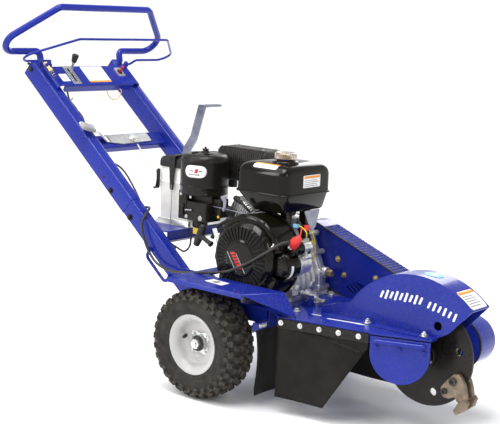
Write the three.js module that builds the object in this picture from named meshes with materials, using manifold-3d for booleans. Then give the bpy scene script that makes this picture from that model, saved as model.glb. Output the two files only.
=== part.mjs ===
// Walk-behind stump grinder: a toothed cutter disc at the front, a single-cylinder engine behind it,
// two wheels and a long handle.
// Frame: +X is forward (towards the cutter), +Y is the machine's left (belt side), +Z is up.
// The origin is on the ground, half way between the two wheels. All sizes are millimetres.
import * as THREE from "three";
import { ConvexGeometry } from "three/addons/geometries/ConvexGeometry.js";
import { RoundedBoxGeometry } from "three/addons/geometries/RoundedBoxGeometry.js";
import { mergeVertices } from "three/addons/utils/BufferGeometryUtils.js";
import Module from "manifold-3d";

const wasm = await Module();
wasm.setup();

// ---------- driving dimensions ----------
const GAP = 0.3; // clearance between pieces that touch
const TYRE_R = 160;
const TYRE_W = 112;
const AXLE_Z = 165; // heights here are from a datum plane that lies a little under the ground
const DATUM = TYRE_R - AXLE_Z;
const WHEEL_Y = 283; // half of the track
const RIM_R = 88;
const AXLE_R = 12.5;

const DECK_TOP = 283;
const DECK_T = 5;
const SHELF_TOP = 350; // the fenders' flat tops
const SHEET = 3; // thickness of the folded sheet steel

const RAIL_TILT = THREE.MathUtils.degToRad(39.9); // the handle rails' slope
const RAIL_PASS = [-600, 656]; // a point (x, z) on the rails' centre line
const RAIL_Y = 180; // rail centre
const RAIL_W = 40;
const RAIL_D = 62;
const RAIL_TOP_S = -382; // rail ends, measured down the slope from RAIL_PASS
const RAIL_SPLICE_S = 245;
const RAIL_END_S = 585;

const CRANK = [75, 415]; // engine crankshaft (x, z)
const CUTTER = [620, 222]; // cutter shaft (x, z)
const RECOIL_Y = -225; // outer face of the recoil starter
const PTO_Y = 93; // engine face on the belt side
const GUARD_Y = [97, 192]; // belt guard
const GUARD_R = [77, 68]; // round the crank end and round the nose
const DRIVE_R = 50; // pulley radii over the rims
const DRIVEN_R = 55;
const SHAFT_R = 12.5;
const DISC_R = 142;
const DISC_T = 10;
const DISC_Y = -65;
const HOUSING_Y = [-110, -20]; // cutter housing side plates, outer faces
const HOUSING_C = [600, 188];
const HOUSING_R = 254;

// ---------- materials ----------
const paint = (name, colour, roughness, metalness) =>
  new THREE.MeshStandardMaterial({ name, color: colour, roughness, metalness });
const BLUE = paint("blue_paint", 0x1f1fb4, 0.35, 0.1);
const BLACK_GLOSS = paint("black_gloss", 0x0b0b0c, 0.2, 0.1);
const BLACK_SATIN = paint("black_satin", 0x1a1a1b, 0.5, 0.1);
const RUBBER = paint("rubber", 0x161616, 0.85, 0);
const RIM_GREY = paint("rim_paint", 0xc9ccd0, 0.4, 0.2);
const ALUMINIUM = paint("cast_aluminium", 0xb9bbbd, 0.45, 0.9);
const ZINC = paint("zinc_plate", 0xc4c6c8, 0.35, 0.9);
const STEEL = paint("bright_steel", 0x9a9a9a, 0.35, 1);
const TOOTH_STEEL = paint("worn_steel", 0x8a7f72, 0.5, 0.9);
const WHITE_PLASTIC = paint("battery_case", 0xe9e6dc, 0.5, 0);
const RED = paint("red_plastic", 0xc8201c, 0.4, 0);
const GREY_GRIP = paint("grey_grip", 0x8c8f92, 0.7, 0);

// ---------- solids ----------
// A closed three.js geometry as a manifold-3d solid.
function solid(geometry) {
  const g = (geometry.index ? geometry.toNonIndexed() : geometry).clone();
  const bare = new THREE.BufferGeometry().setAttribute("position", g.getAttribute("position"));
  const merged = mergeVertices(bare, 1e-3);
  return new wasm.Manifold(
    new wasm.Mesh({
      numProp: 3,
      vertProperties: merged.attributes.position.array,
      triVerts: new Uint32Array(merged.index.array),
    }),
  );
}

function geometryOf(made) {
  const m = made.getMesh();
  const g = new THREE.BufferGeometry();
  g.setAttribute("position", new THREE.BufferAttribute(new Float32Array(m.vertProperties), 3));
  g.setIndex(new THREE.BufferAttribute(new Uint32Array(m.triVerts), 1));
  g.computeVertexNormals();
  return g;
}

const join = (...parts) => geometryOf(parts.map(solid).reduce((a, b) => a.add(b)));
const cut = (base, ...tools) => geometryOf(tools.map(solid).reduce((a, b) => a.subtract(b), solid(base)));

// A box between two corners.
function block([x0, x1], [y0, y1], [z0, z1]) {
  const g = new THREE.BoxGeometry(x1 - x0, y1 - y0, z1 - z0);
  return g.translate((x0 + x1) / 2, (y0 + y1) / 2, (z0 + z1) / 2);
}

// The same with rounded edges.
function softBlock([x0, x1], [y0, y1], [z0, z1], radius, steps = 1) {
  const g = new RoundedBoxGeometry(x1 - x0, y1 - y0, z1 - z0, steps, radius);
  return g.translate((x0 + x1) / 2, (y0 + y1) / 2, (z0 + z1) / 2);
}

// Cylinders along Y and Z.
function rodY([x, z], radius, [y0, y1], sides = 24) {
  const g = new THREE.CylinderGeometry(radius, radius, y1 - y0, sides);
  return g.translate(x, (y0 + y1) / 2, z);
}
function rodZ([x, y], radius, [z0, z1], sides = 24, topRadius = radius) {
  const g = new THREE.CylinderGeometry(topRadius, radius, z1 - z0, sides);
  return g.rotateX(Math.PI / 2).translate(x, y, (z0 + z1) / 2);
}

// A plate cut to an outline in the XZ plane, between two Y values.
function plateXZ(outline, [y0, y1], holes = []) {
  const shape = new THREE.Shape(outline.map(([x, z]) => new THREE.Vector2(x, z)));
  for (const hole of holes) shape.holes.push(new THREE.Path(hole.map(([x, z]) => new THREE.Vector2(x, z))));
  const g = new THREE.ExtrudeGeometry(shape, { depth: y1 - y0, bevelEnabled: false });
  return g.rotateX(Math.PI / 2).translate(0, y1, 0);
}

// A plate cut to an outline in the XY plane, between two Z values.
function plateXY(outline, [z0, z1], holes = []) {
  const shape = new THREE.Shape(outline.map(([x, y]) => new THREE.Vector2(x, y)));
  for (const hole of holes) shape.holes.push(new THREE.Path(hole.map(([x, y]) => new THREE.Vector2(x, y))));
  return new THREE.ExtrudeGeometry(shape, { depth: z1 - z0, bevelEnabled: false }).translate(0, 0, z0);
}

// A plate cut to an outline in the YZ plane, between two X values.
function plateYZ(outline, [x0, x1]) {
  const shape = new THREE.Shape(outline.map(([y, z]) => new THREE.Vector2(y, z)));
  const g = new THREE.ExtrudeGeometry(shape, { depth: x1 - x0, bevelEnabled: false });
  return g.rotateX(Math.PI / 2).rotateZ(Math.PI / 2).translate(x0, 0, 0);
}

// Points on an arc, angles in degrees, from a to b.
function arc([cx, cy], radius, a, b, steps) {
  const points = [];
  for (let i = 0; i <= steps; i++) {
    const t = THREE.MathUtils.degToRad(a + ((b - a) * i) / steps);
    points.push([cx + radius * Math.cos(t), cy + radius * Math.sin(t)]);
  }
  return points;
}
const circle = (centre, radius, steps) => arc(centre, radius, 0, 360 - 360 / steps, steps - 1);

// The outline round two circles, like a belt round its pulleys.
function loopOutline([x0, z0], r0, [x1, z1], r1, steps = 10) {
  const along = THREE.MathUtils.radToDeg(Math.atan2(z1 - z0, x1 - x0));
  const lean = THREE.MathUtils.radToDeg(Math.asin((r1 - r0) / Math.hypot(x1 - x0, z1 - z0)));
  const up = along + 90 + lean;
  const down = along - 90 - lean;
  return [...arc([x1, z1], r1, down, up, steps), ...arc([x0, z0], r0, up, down + 360, steps)];
}

// A turned piece: the profile is [radius, y], closed on itself, spun about the Y axis.
function turned(profile, [x, z], y = 0, sides = 28) {
  const points = [...profile, profile[0]].map(([r, h]) => new THREE.Vector2(r, h));
  return new THREE.LatheGeometry(points, sides).translate(x, y, z);
}

// A path of straight runs joined by arcs; each corner has its own bend radius.
class BentPath extends THREE.Curve {
  constructor(corners, radius, stepsPerBend = 4) {
    super();
    this.knots = [];
    const pts = corners.map((c) => new THREE.Vector3(...c));
    pts.forEach((p, i) => {
      if (i === 0 || i === pts.length - 1) return this.knots.push(p);
      const back = pts[i - 1].clone().sub(p).normalize();
      const on = pts[i + 1].clone().sub(p).normalize();
      const half = back.angleTo(on) / 2;
      const r = Array.isArray(radius) ? radius[i - 1] : radius;
      const reach = r / Math.tan(half);
      const centre = p.clone().addScaledVector(back.clone().add(on).normalize(), r / Math.sin(half));
      const from = p.clone().addScaledVector(back, reach).sub(centre);
      const axis = from.clone().cross(p.clone().addScaledVector(on, reach).sub(centre)).normalize();
      for (let k = 0; k <= stepsPerBend; k++)
        this.knots.push(from.clone().applyAxisAngle(axis, ((Math.PI - 2 * half) * k) / stepsPerBend).add(centre));
    });
  }
  getPoint(t) {
    const at = t * (this.knots.length - 1);
    const i = Math.min(Math.floor(at), this.knots.length - 2);
    return this.knots[i].clone().lerp(this.knots[i + 1], at - i);
  }
  getPointAt(t) {
    return this.getPoint(t);
  }
  getTangentAt(t) {
    const n = this.knots.length - 1;
    const i = Math.round(t * n);
    const before = this.knots[Math.max(i - 1, 0)];
    const after = this.knots[Math.min(i + 1, n)];
    return after.clone().sub(before).normalize();
  }
}

const ring = (radius, sides) => new THREE.Shape(arc([0, 0], radius, 0, 360 - 360 / sides, sides - 1)
  .map(([x, y]) => new THREE.Vector2(x, y)));

// A bent rod or tube drawn as a solid of round section.
function bentRod(corners, bend, radius, sides = 10, stepsPerBend = 4) {
  const path = new BentPath(corners, bend, stepsPerBend);
  const steps = path.knots.length - 1;
  return new THREE.ExtrudeGeometry(ring(radius, sides), { steps, extrudePath: path, bevelEnabled: false });
}

// A cable laid smoothly through hand-picked points.
function cable(points, radius, steps, sides = 8) {
  const route = new THREE.CatmullRomCurve3(points.map((p) => new THREE.Vector3(...p)), false, "centripetal");
  return new THREE.ExtrudeGeometry(ring(radius, sides), { steps, extrudePath: route, bevelEnabled: false });
}

// ---------- scene graph ----------
const machine = new THREE.Group();
const body = new THREE.Group(); // everything, lowered so that the tyres stand on z = 0
body.position.z = DATUM;
machine.add(body);
const handleFrame = new THREE.Group(); // local x runs down the rails, local z stands off them
handleFrame.position.set(RAIL_PASS[0], 0, RAIL_PASS[1]);
handleFrame.rotation.y = RAIL_TILT;
body.add(handleFrame);

function piece(name, geometry, material, group = body) {
  const mesh = new THREE.Mesh(geometry, material);
  mesh.name = name;
  group.add(mesh);
  return mesh;
}
const SIDES = [["right", -1], ["left", 1]];

// ---------- wheels ----------
const bead = 42.5;
const rimProfile = [
  [AXLE_R + 0.5, -50], [22, -50], [22, 6], [54, 14], [64, 6], [64, -30], [72, -44],
  [RIM_R, -50], [RIM_R, -47], [76, -bead], [68, -26], [68, 26],
  [76, bead], [RIM_R, 47], [RIM_R, 50], [72, 44], [64, 30],
  [54, 18], [22, 10], [22, 50], [AXLE_R + 0.5, 50],
];
const tyreProfile = [
  [76.4, -42], [RIM_R + 0.4, -46.4], [94, -50], [116, -TYRE_W / 2], [142, -51], [155, -38], [TYRE_R, -18],
  [TYRE_R, 18], [155, 38], [142, 51], [116, TYRE_W / 2], [94, 50], [RIM_R + 0.4, 46.4], [76.4, 42],
];
for (const [side, sign] of SIDES) {
  const flip = (profile) => (sign > 0 ? profile : profile.map(([r, y]) => [r, -y]).reverse());
  piece("rim_" + side, turned(flip(rimProfile), [0, AXLE_Z], sign * WHEEL_Y, 24), RIM_GREY);
  piece("tyre_" + side, turned(flip(tyreProfile), [0, AXLE_Z], sign * WHEEL_Y, 32), RUBBER);
}
const axleEnd = WHEEL_Y + 52;
piece("axle", join(
  rodY([0, AXLE_Z], AXLE_R, [-axleEnd, axleEnd], 20),
  rodY([0, AXLE_Z], 20, [-axleEnd - 12, -WHEEL_Y - 50.5], 6),
  rodY([0, AXLE_Z], 20, [WHEEL_Y + 50.5, axleEnd + 12], 6),
), STEEL);

// ---------- chassis ----------
// The deck carries the engine and is slotted at the front for the cutter; its right edge turns in.
// Two hanger plates under it hold the cutter's bearings, and a cross bar holds the rear skirt.
const DECK_EDGE = [[246, -250], [518, -194], [673, -136]]; // right front edge
const SLOT_X = 345;
const HANGERS = [["right", -127, 1], ["left", 66, -1]]; // plates that carry the cutter shaft
const SKIRT_BAR_X = [173, 177]; // cross bar under the deck that the rear skirt hangs from
function deck() {
  const outline = [
    [-95, -204], [185, -204], ...DECK_EDGE, [673, HOUSING_Y[0] + 2], [SLOT_X, HOUSING_Y[0] + 2],
    [SLOT_X, HOUSING_Y[1] - 2], [640, HOUSING_Y[1] - 2], [640, 90], [203, 90], [203, 248], [185, 204], [-95, 204],
  ];
  const top = plateXY(outline, [DECK_TOP - DECK_T, DECK_TOP]);
  const lip = edgePlate(DECK_EDGE[0], DECK_EDGE[1], 0, SHEET, [DECK_TOP - 28, DECK_TOP - 1]);
  const hangers = HANGERS.map(([side, y]) => {
    const front = side === "right" ? 664 : 638;
    const under = DECK_TOP - DECK_T + 1;
    const outline = [[570, under], [570, 232], [600, 180], [636, 180], [front, 232], [front, under]];
    return cut(plateXZ(outline, [y - 3, y + 3]), rodY(CUTTER, SHAFT_R + 0.5, [y - 40, y + 40], 20));
  });
  const skirtBar = plateYZ([[-272, 230], [84, 230], [84, 279], [-203, 279], [-203, 255], [-272, 255]], SKIRT_BAR_X);
  const barFlange = block([SKIRT_BAR_X[1] - 1, SKIRT_BAR_X[1] + 14], [-272, -203], [252, 255]);
  return join(top, lip, skirtBar, barFlange, ...hangers);
}

// A vertical strip along a line in plan, set inboard by `inset`, with the given thickness and heights.
function edgePlate([x0, y0], [x1, y1], inset, thickness, [z0, z1]) {
  const length = Math.hypot(x1 - x0, y1 - y0);
  const g = block([0, length], [inset, inset + thickness], [z0, z1]);
  return g.rotateZ(Math.atan2(y1 - y0, x1 - x0)).translate(x0, y0, 0);
}
piece("deck", deck(), BLUE);

// Hollow square members under the deck, each welded to a plate that hangs the axle, stands the
// fender on the deck and takes the foot of the handle rail.
const MEMBER = { y: 180, half: 20, z: [DECK_TOP - DECK_T - GAP - 44, DECK_TOP - DECK_T - GAP] };
const BRACKET_Y = [204.4, 209];
const bracketOutline = [
  [-196, 318], [-178, 346], [-28, 346], [-28, DECK_TOP + 12], [70, DECK_TOP + 12], [70, 200], [32, 140],
  [-32, 140], [-70, 200], [-120, 232],
];
for (const [side, sign] of SIDES) {
  const y = sign * MEMBER.y;
  const outer = block([-90, 165], [y - MEMBER.half, y + MEMBER.half], MEMBER.z);
  const inner = block([-91, 166], [y - MEMBER.half + 4, y + MEMBER.half - 4], [MEMBER.z[0] + 4, MEMBER.z[1] - 4]);
  const ys = sign > 0 ? BRACKET_Y : [-BRACKET_Y[1], -BRACKET_Y[0]];
  const bracket = plateXZ(bracketOutline, ys, [circle([0, AXLE_Z], AXLE_R + 0.5, 20)]);
  const weld = block([-60, 60], sign > 0 ? [198, 205] : [-205, -198], [MEMBER.z[0] + 6, MEMBER.z[0] + 20]);
  piece("side_member_" + side, join(cut(outer, inner), weld, bracket), BLUE);
}

// Fender: flat shelf over the wheel, turned-down lip, a sloping front plate down to the deck.
// Behind the engine the two shelves meet on the centre line.
const FENDER_OUT = 345;
function fender(sign) {
  const y = (v) => sign * v;
  const frontFoot = sign < 0 ? [292, 226] : [200, 226];
  const flatTop = [[-95, GAP], [-95, FENDER_OUT], [190, FENDER_OUT], [252, 232], [-36, 232], [-36, GAP]];
  const shelf = plateXY(flatTop.map(([a, b]) => [a, y(b)]), [SHELF_TOP - SHEET, SHELF_TOP]);
  const lipY = sign > 0 ? [FENDER_OUT - SHEET, FENDER_OUT] : [-FENDER_OUT, -FENDER_OUT + SHEET];
  const lip = block([-95, 190], lipY, [SHELF_TOP - 14, SHELF_TOP - 1]);
  const corners = [[190, FENDER_OUT, SHELF_TOP - 1], [252, 232, SHELF_TOP - 1], [...frontFoot, DECK_TOP + 1]];
  const points = [];
  for (const [cx, cy, cz] of corners) {
    points.push(new THREE.Vector3(cx, y(cy), cz));
    points.push(new THREE.Vector3(cx - SHEET, y(cy - 1), cz - 1));
  }
  const front = new ConvexGeometry(points);
  return join(shelf, lip, front);
}
for (const [side, sign] of SIDES) piece("fender_" + side, fender(sign), BLUE);

// ---------- handle ----------
// Local frame: s down the slope, y across, n off the rails.
const BAR = { s: -391, footS: -364, r: 11, foot: 24, knee: 40, low: 61, high: 253, halfTop: 202, sharp: 401 };
function railTube(s0, s1, y, trim) {
  const w = RAIL_W / 2 - trim;
  const d = RAIL_D / 2 - trim;
  const outer = block([s0, s1], [y - w, y + w], [-d, d]);
  const inner = block([s0 - 1, s1 + 1], [y - w + 3, y + w - 3], [-d + 3, d - 3]);
  return cut(outer, inner);
}
// The left rail also carries the tension lever's pivot bolt; each foot has a tie-down loop.
const TALL = { s: 137, n: -4, y: [146, 154] };
for (const [side, sign] of SIDES) {
  const y = sign * RAIL_Y;
  const tubeHole = rodZ([BAR.footS, y], BAR.r + 0.8, [20, 60], 12);
  let upper = cut(railTube(RAIL_TOP_S, RAIL_SPLICE_S, y, 0), tubeHole);
  if (sign > 0)
    upper = join(
      upper,
      rodY([TALL.s, TALL.n], 6, [TALL.y[0] - 1, y - RAIL_W / 2 + 1], 14),
      rodY([TALL.s, TALL.n], 11, [TALL.y[0] - 8, TALL.y[0] - 0.4], 6),
    );
  const outside = sign * (RAIL_Y + RAIL_W / 2 - 1.5 + 3);
  const loop = bentRod(
    [[405, outside, -20], [405, outside, -50], [515, outside, -50], [515, outside, -20]], 16, 5, 8, 3);
  const lower = railTube(RAIL_SPLICE_S + GAP, RAIL_END_S, y, 1.5);
  piece("rail_upper_" + side, upper, BLUE, handleFrame);
  piece("rail_lower_" + side, join(lower, loop), BLUE, handleFrame);
}

// Cross member: a shallow angle between the rails, with the lock lever's pivot bolt.
const CROSS_Y = RAIL_Y - RAIL_W / 2 - GAP;
const LEVER = { s: -26, y: 20, n: 4.5 };
piece("cross_member", join(
  block([-52, 2], [-CROSS_Y, CROSS_Y], [0, 4]),
  block([-2, 2], [-CROSS_Y, CROSS_Y], [-18, 2]),
  rodZ([LEVER.s, LEVER.y], 6, [3, LEVER.n + 8], 14),
  rodZ([LEVER.s, LEVER.y], 11, [LEVER.n + 5.4, LEVER.n + 12], 6),
), BLUE, handleFrame);

// Console panel: a folded sheet on the rail tops, with the throttle's slot plate, the stop switch's
// plate and the two lugs of the bail.
const PANEL = { s: [-336, -242], y: 185, n: 46 };
const SWITCH = { s: -300, y: 128 };
const BAIL = { s: -329.5, n: 56.4, r: 4, low: 34, high: 196, halfTop: 200, sharp: 378, foot: 192 };
const THROTTLE_Y = -95;
const THROTTLE_S = -292;
const THROTTLE_LEAN = THREE.MathUtils.degToRad(19); // towards the operator at idle
function panel() {
  const { s, y, n } = PANEL;
  const face = block(s, [-y, y], [n - SHEET, n]);
  const ends = [-1, 1].map((k) => block(s, k > 0 ? [y - SHEET, y] : [-y, -y + SHEET], [31.3, n - 1]));
  const front = block([s[1] - SHEET, s[1]], [-RAIL_Y + 22, RAIL_Y - 22], [18, n - 1]);
  const back = block([s[0], s[0] + SHEET], [-RAIL_Y + 22, RAIL_Y - 22], [26, n - 1]);
  const lugs = [-1, 1].map((k) =>
    block([BAIL.s - 10, BAIL.s + 10], [k * 174.5 - 2.5, k * 174.5 + 2.5], [n - 1, BAIL.n + 10]));
  const switchPlate = block([SWITCH.s - 20, SWITCH.s + 20], [SWITCH.y - 15, SWITCH.y + 15], [n - 1, n + 4]);
  const slotPlate = block(
    [THROTTLE_S - 42, THROTTLE_S + 42], [THROTTLE_Y - 17, THROTTLE_Y + 17], [n - 1, n + 1.5]);
  return cut(
    join(face, ...ends, front, back, ...lugs, switchPlate, slotPlate),
    block([THROTTLE_S - 32, THROTTLE_S + 32], [THROTTLE_Y - 4.5, THROTTLE_Y + 4.5], [n - 10, n + 5]),
    block([SWITCH.s - 12, SWITCH.s + 12], [SWITCH.y - 6, SWITCH.y + 6], [n + 1.5, n + 5]),
    rodY([BAIL.s, BAIL.n], BAIL.r + 0.5, [-190, 190], 16),
  );
}
piece("console_panel", panel(), BLUE, handleFrame);
// The throttle lever pivots under the panel and ends in a knob.
piece("throttle_lever", join(
  rodY([0, 0], 9, [-2, 2], 14),
  block([-5, 5], [-1.5, 1.5], [0, 76]),
  new THREE.SphereGeometry(12, 12, 8).rotateX(Math.PI / 2).scale(1, 1, 1.15).translate(0, 0, 80),
).rotateY(-THROTTLE_LEAN).translate(THROTTLE_S, THROTTLE_Y, 20), STEEL, handleFrame);

// Stop switch: a red paddle that tips in its plate.
piece("stop_switch", join(
  rodY([SWITCH.s, PANEL.n + 7], 4, [SWITCH.y - 5, SWITCH.y + 5], 12),
  block([SWITCH.s - 3, SWITCH.s + 3], [SWITCH.y - 5, SWITCH.y + 5], [PANEL.n + 7, PANEL.n + 26]),
), RED, handleFrame);

// Handlebar: a flat loop square to the rails, wide at the hand corners and narrow at the top bar. Its
// feet lean down the slope into the rail tops.
const barHalf = (sign) => [
  [BAR.footS, sign * RAIL_Y, BAR.foot], [BAR.footS, sign * RAIL_Y, BAR.knee], [BAR.s, sign * RAIL_Y, BAR.low],
  [BAR.s, sign * BAR.sharp, BAR.low], [BAR.s, sign * BAR.halfTop, BAR.high],
];
piece("handlebar", bentRod(
  [...barHalf(-1), ...barHalf(1).reverse()], [10, 20, 43, 30, 30, 43, 20, 10], BAR.r, 10, 5,
), BLUE, handleFrame);

// Presence bail: a thin rod of the same shape, hinged in two lugs on the panel and lying forward.
const BAIL_REST = THREE.MathUtils.degToRad(28.3); // above the horizontal
const bailFrame = new THREE.Group();
bailFrame.position.set(BAIL.s, 0, BAIL.n);
bailFrame.rotation.y = -(RAIL_TILT + BAIL_REST); // local x runs from the pivot to the bar
handleFrame.add(bailFrame);
piece("presence_bail", bentRod(
  [
    [0, -168, 0], [0, -BAIL.foot, 0], [BAIL.low, -BAIL.foot, 0], [BAIL.low, -BAIL.sharp, 0],
    [BAIL.high, -BAIL.halfTop, 0], [BAIL.high, BAIL.halfTop, 0], [BAIL.low, BAIL.sharp, 0],
    [BAIL.low, BAIL.foot, 0], [0, BAIL.foot, 0], [0, 168, 0],
  ],
  [9, 9, 34, 22, 22, 34, 9, 9], BAIL.r, 8, 3,
), BLUE, bailFrame);
// Plated lever on the cross member, with a soft sleeve over its end.
// Its arm climbs over the right rail and ends level, where the hand sleeve sits.
const armStations = [[-100, -16, 4.5], [-150, -32, 38], [-224, -40, 56]]; // [y, s, n] along the arm
function leverArm([[y0, s0, n0], [y1, s1, n1]]) {
  const corners = [];
  for (const [y, s, n] of [[y0 + 1, s0, n0], [y1, s1, n1]])
    for (const across of [-13, 13]) for (const up of [0, 5]) corners.push(new THREE.Vector3(s + across, y, n + up));
  return new ConvexGeometry(corners).translate(LEVER.s + 12, 0, 0);
}
piece("lock_lever", cut(
  join(
    plateXY([[LEVER.s - 20, 95], [LEVER.s - 20, -100], [LEVER.s + 10, -100], [LEVER.s + 20, -40],
      [LEVER.s + 16, 95]], [LEVER.n, LEVER.n + 5]),
    leverArm(armStations.slice(0, 2)),
    leverArm(armStations.slice(1)),
  ),
  rodZ([LEVER.s, LEVER.y], 6.5, [0, 20], 14),
), ZINC, handleFrame);

// Tall flat lever on the left rail, jogged in its own plane and bent over at the top.
const tallPivot = new THREE.Vector3(TALL.s, 0, TALL.n).applyMatrix4(
  new THREE.Matrix4().makeRotationY(RAIL_TILT)).add(handleFrame.position);
const tallOutline = [
  [-14, -12], [14, -12], [22, 76], [50, 118], [86, 236], [56, 238], [24, 132], [-8, 86],
];
piece("tension_lever", cut(
  join(
    plateXZ(tallOutline, TALL.y),
    block([57, 85], [TALL.y[0], TALL.y[1] + 75], [230, 237]),
  ),
  rodY([0, 0], 6.5, [TALL.y[0] - 2, TALL.y[1] + 2], 14),
).translate(tallPivot.x, 0, tallPivot.z), STEEL);

// ---------- battery ----------
const BATTERY = { x: [-411, -279], y: [-62, 135], z: [437, 618] };
piece("battery_shelf", join(
  block([-424, -271], [-159.6, 159.6], [432, 436]),
  block([-275, -271], [-159.6, 159.6], [404, 434]),
), BLUE);
piece("battery", softBlock(BATTERY.x, BATTERY.y, BATTERY.z, 6), WHITE_PLASTIC);
piece("battery_cover", softBlock([-415, -276.5], [-66, 139], [BATTERY.z[1] + GAP, BATTERY.z[1] + 34], 12), BLACK_SATIN);
const strap = { z: [436.4, BATTERY.z[1] + 40] };
piece("battery_strap", join(
  block([-360, -335], [-72, 145], [strap.z[1] - 5, strap.z[1]]),
  block([-360, -335], [-72, -68], strap.z),
  block([-360, -335], [141, 145], strap.z),
), BLACK_SATIN);

// ---------- engine ----------
const [CX, CZ] = CRANK;
const engineBase = DECK_TOP + GAP;
const STARTER = [CX + 124, CZ - 8];
const SOLENOID = [STARTER[0] + 18, STARTER[1] + 50];
// Crankcase with its foot, sloping front and starter bosses, and the leaning finned cylinder.
function engineBlock() {
  const foot = block([CX - 105, CX + 93], [-98, PTO_Y - 2], [engineBase, engineBase + 14]);
  const squareCase = softBlock([CX - 100, CX + 88], [-99, PTO_Y], [engineBase + 8, CZ + 105], 24);
  const slopeCut = plateXZ([[CX + 89, 348], [CX + 110, 348], [CX + 110, CZ + 110], [CX + 9, CZ + 110]], [-110, 110]);
  const caseBody = cut(squareCase, slopeCut);
  const barrel = softBlock([-222, -80], [-52, 70], [-52, 52], 8);
  const fins = [];
  for (let i = 0; i < 4; i++) fins.push(block([-214 + i * 24, -206 + i * 24], [-60, 78], [-62, 62]));
  const lean = THREE.MathUtils.degToRad(25);
  const leaning = [barrel, ...fins].map((g) => g.rotateY(lean).translate(CX, 0, CZ));
  const bosses = [rodY(STARTER, 31, [-139.7, -90], 20), rodY(SOLENOID, 13, [-126.7, -90], 12)];
  const wingY = [-98, -84];
  const wings = [
    plateXZ(loopOutline([CX + 55, CZ - 10], 50, STARTER, 31), wingY),
    plateXZ(loopOutline([CX + 50, CZ + 25], 35, SOLENOID, 13), wingY),
  ];
  return join(foot, caseBody, ...bosses, ...wings, ...leaning);
}

piece("engine_block", engineBlock(), ALUMINIUM);

// Pressed-steel fan cowl on the flywheel side and the recoil starter on its face.
const cowlOutline = [...arc([CX, CZ], 126, -60, 150, 16), [CX - 128, CZ - 20], ...arc([CX, CZ], 112, 215, 290, 6)];
piece("fan_cowl", cut(
  plateXZ(cowlOutline, [-196, -99.6]),
  rodY(STARTER, 38, [-200, -90], 20),
  rodY(SOLENOID, 21, [-200, -90], 16),
), BLACK_GLOSS);
piece("recoil_cover", new THREE.LatheGeometry(
  [[0, -196.4], [108, -196.4], [108, -204], [98, -220], [60, RECOIL_Y], [0, RECOIL_Y]]
    .map(([r, h]) => new THREE.Vector2(r, h)).reverse(), 28).translate(CX, 0, CZ), BLACK_GLOSS);
// Pull grip: a T on a short stem, pointing up and back from the starter.
const PULL = { y: -214, back: 24 };
piece("recoil_grip", join(
  rodZ([0, 0], 11, [10, 52], 12, 9),
  softBlock([-36, 36], [-12, 12], [48, 70], 8),
).rotateY(THREE.MathUtils.degToRad(-90 + PULL.back)).translate(-36, PULL.y, 434), BLACK_SATIN);

piece("starter_motor", join(
  rodY(STARTER, 37, [-188, -140], 20),
  rodY(STARTER, 30, [-195, -187], 20),
  rodY(SOLENOID, 20, [-164, -127], 16),
), BLACK_GLOSS);

// Fuel tank: a box with soft corners, tapering below its seam.
const FILLER = [101, -66];
const TANK = { x: [-28, 166], y: [-142, 82], z: [556, 690] };
function tank() {
  const { x, y, z } = TANK;
  const seam = z[0] + 42;
  const upper = softBlock(x, y, [seam - 30, z[1]], 20, 2);
  const cutBelow = block([x[0] - 5, x[1] + 5], [y[0] - 5, y[1] + 5], [seam - 60, seam]);
  const ringPoints = [];
  for (const [inset, h] of [[2, seam + 2], [34, z[0]]])
    for (const px of [x[0] + inset, x[1] - inset])
      for (const py of [y[0] + inset, y[1] - inset]) ringPoints.push(new THREE.Vector3(px, py, h));
  const lower = new ConvexGeometry(ringPoints);
  const flange = block([x[0] - 3, x[1] + 3], [y[0] - 3, y[1] + 3], [seam - 3, seam + 3]);
  const neck = rodZ(FILLER, 24, [z[1] - 2, z[1] + 6], 20);
  return join(cut(upper, cutBelow), lower, flange, neck);
}
piece("fuel_tank", tank(), BLACK_GLOSS);
piece("fuel_cap", rodZ(FILLER, 32, [TANK.z[1] + 6.3, TANK.z[1] + 26], 24, 29), ZINC);

// Dry air cleaner can over the carburettor box.
const CAN = { x: -200, y: -80, r: 75 };
piece("air_cleaner", join(
  new THREE.LatheGeometry(
    [[0, 566], [CAN.r - 3, 566], [CAN.r, 572], [CAN.r, 664], [CAN.r - 4, 676], [CAN.r - 22, 685], [0, 688]]
      .map(([r, h]) => new THREE.Vector2(r, h)), 28).rotateX(Math.PI / 2).translate(CAN.x, CAN.y, 0),
  rodZ([CAN.x, CAN.y], 6, [686, 697], 12),
  block([CAN.x - 14, CAN.x + 14], [CAN.y - 2, CAN.y + 2], [690, 702]),
), BLACK_SATIN);
piece("carburettor", join(
  softBlock([-258, -140], [-134, -64], [478, 565.6], 8),
  rodZ([CAN.x + 8, CAN.y - 22], 24, [452, 480], 14),
), BLACK_SATIN);
// Choke lever on the carburettor's outer face.
piece("choke_lever", join(
  rodY([-236, 520], 7, [-140, -134.4], 12),
  block([-240, -232], [-139, -136], [490, 520]),
), BLACK_SATIN);

// Muffler box with its ribbed guard.
piece("muffler", join(
  softBlock([-234, -36], [8, 104], [596, 690], 20),
  ...[0, 1, 2, 3, 4].map((i) => block([-214 + i * 36, -206 + i * 36], [3, 109], [616, 698])),
  rodZ([-190, 40], 16, [570, 602], 12),
), BLACK_SATIN);

// Oil filler on the crankcase's right front.
const OIL = { y: 68, z: 352 };
piece("oil_cap", join(
  rodX([CX + 88.4, CX + 100], 17, OIL.y, OIL.z, 12),
  rodX([CX + 98, CX + 120], 12, OIL.y, OIL.z, 6),
), BLACK_SATIN);
function rodX([x0, x1], radius, y, z, sides) {
  return new THREE.CylinderGeometry(radius, radius, x1 - x0, sides).rotateZ(Math.PI / 2)
    .translate((x0 + x1) / 2, y, z);
}

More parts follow.
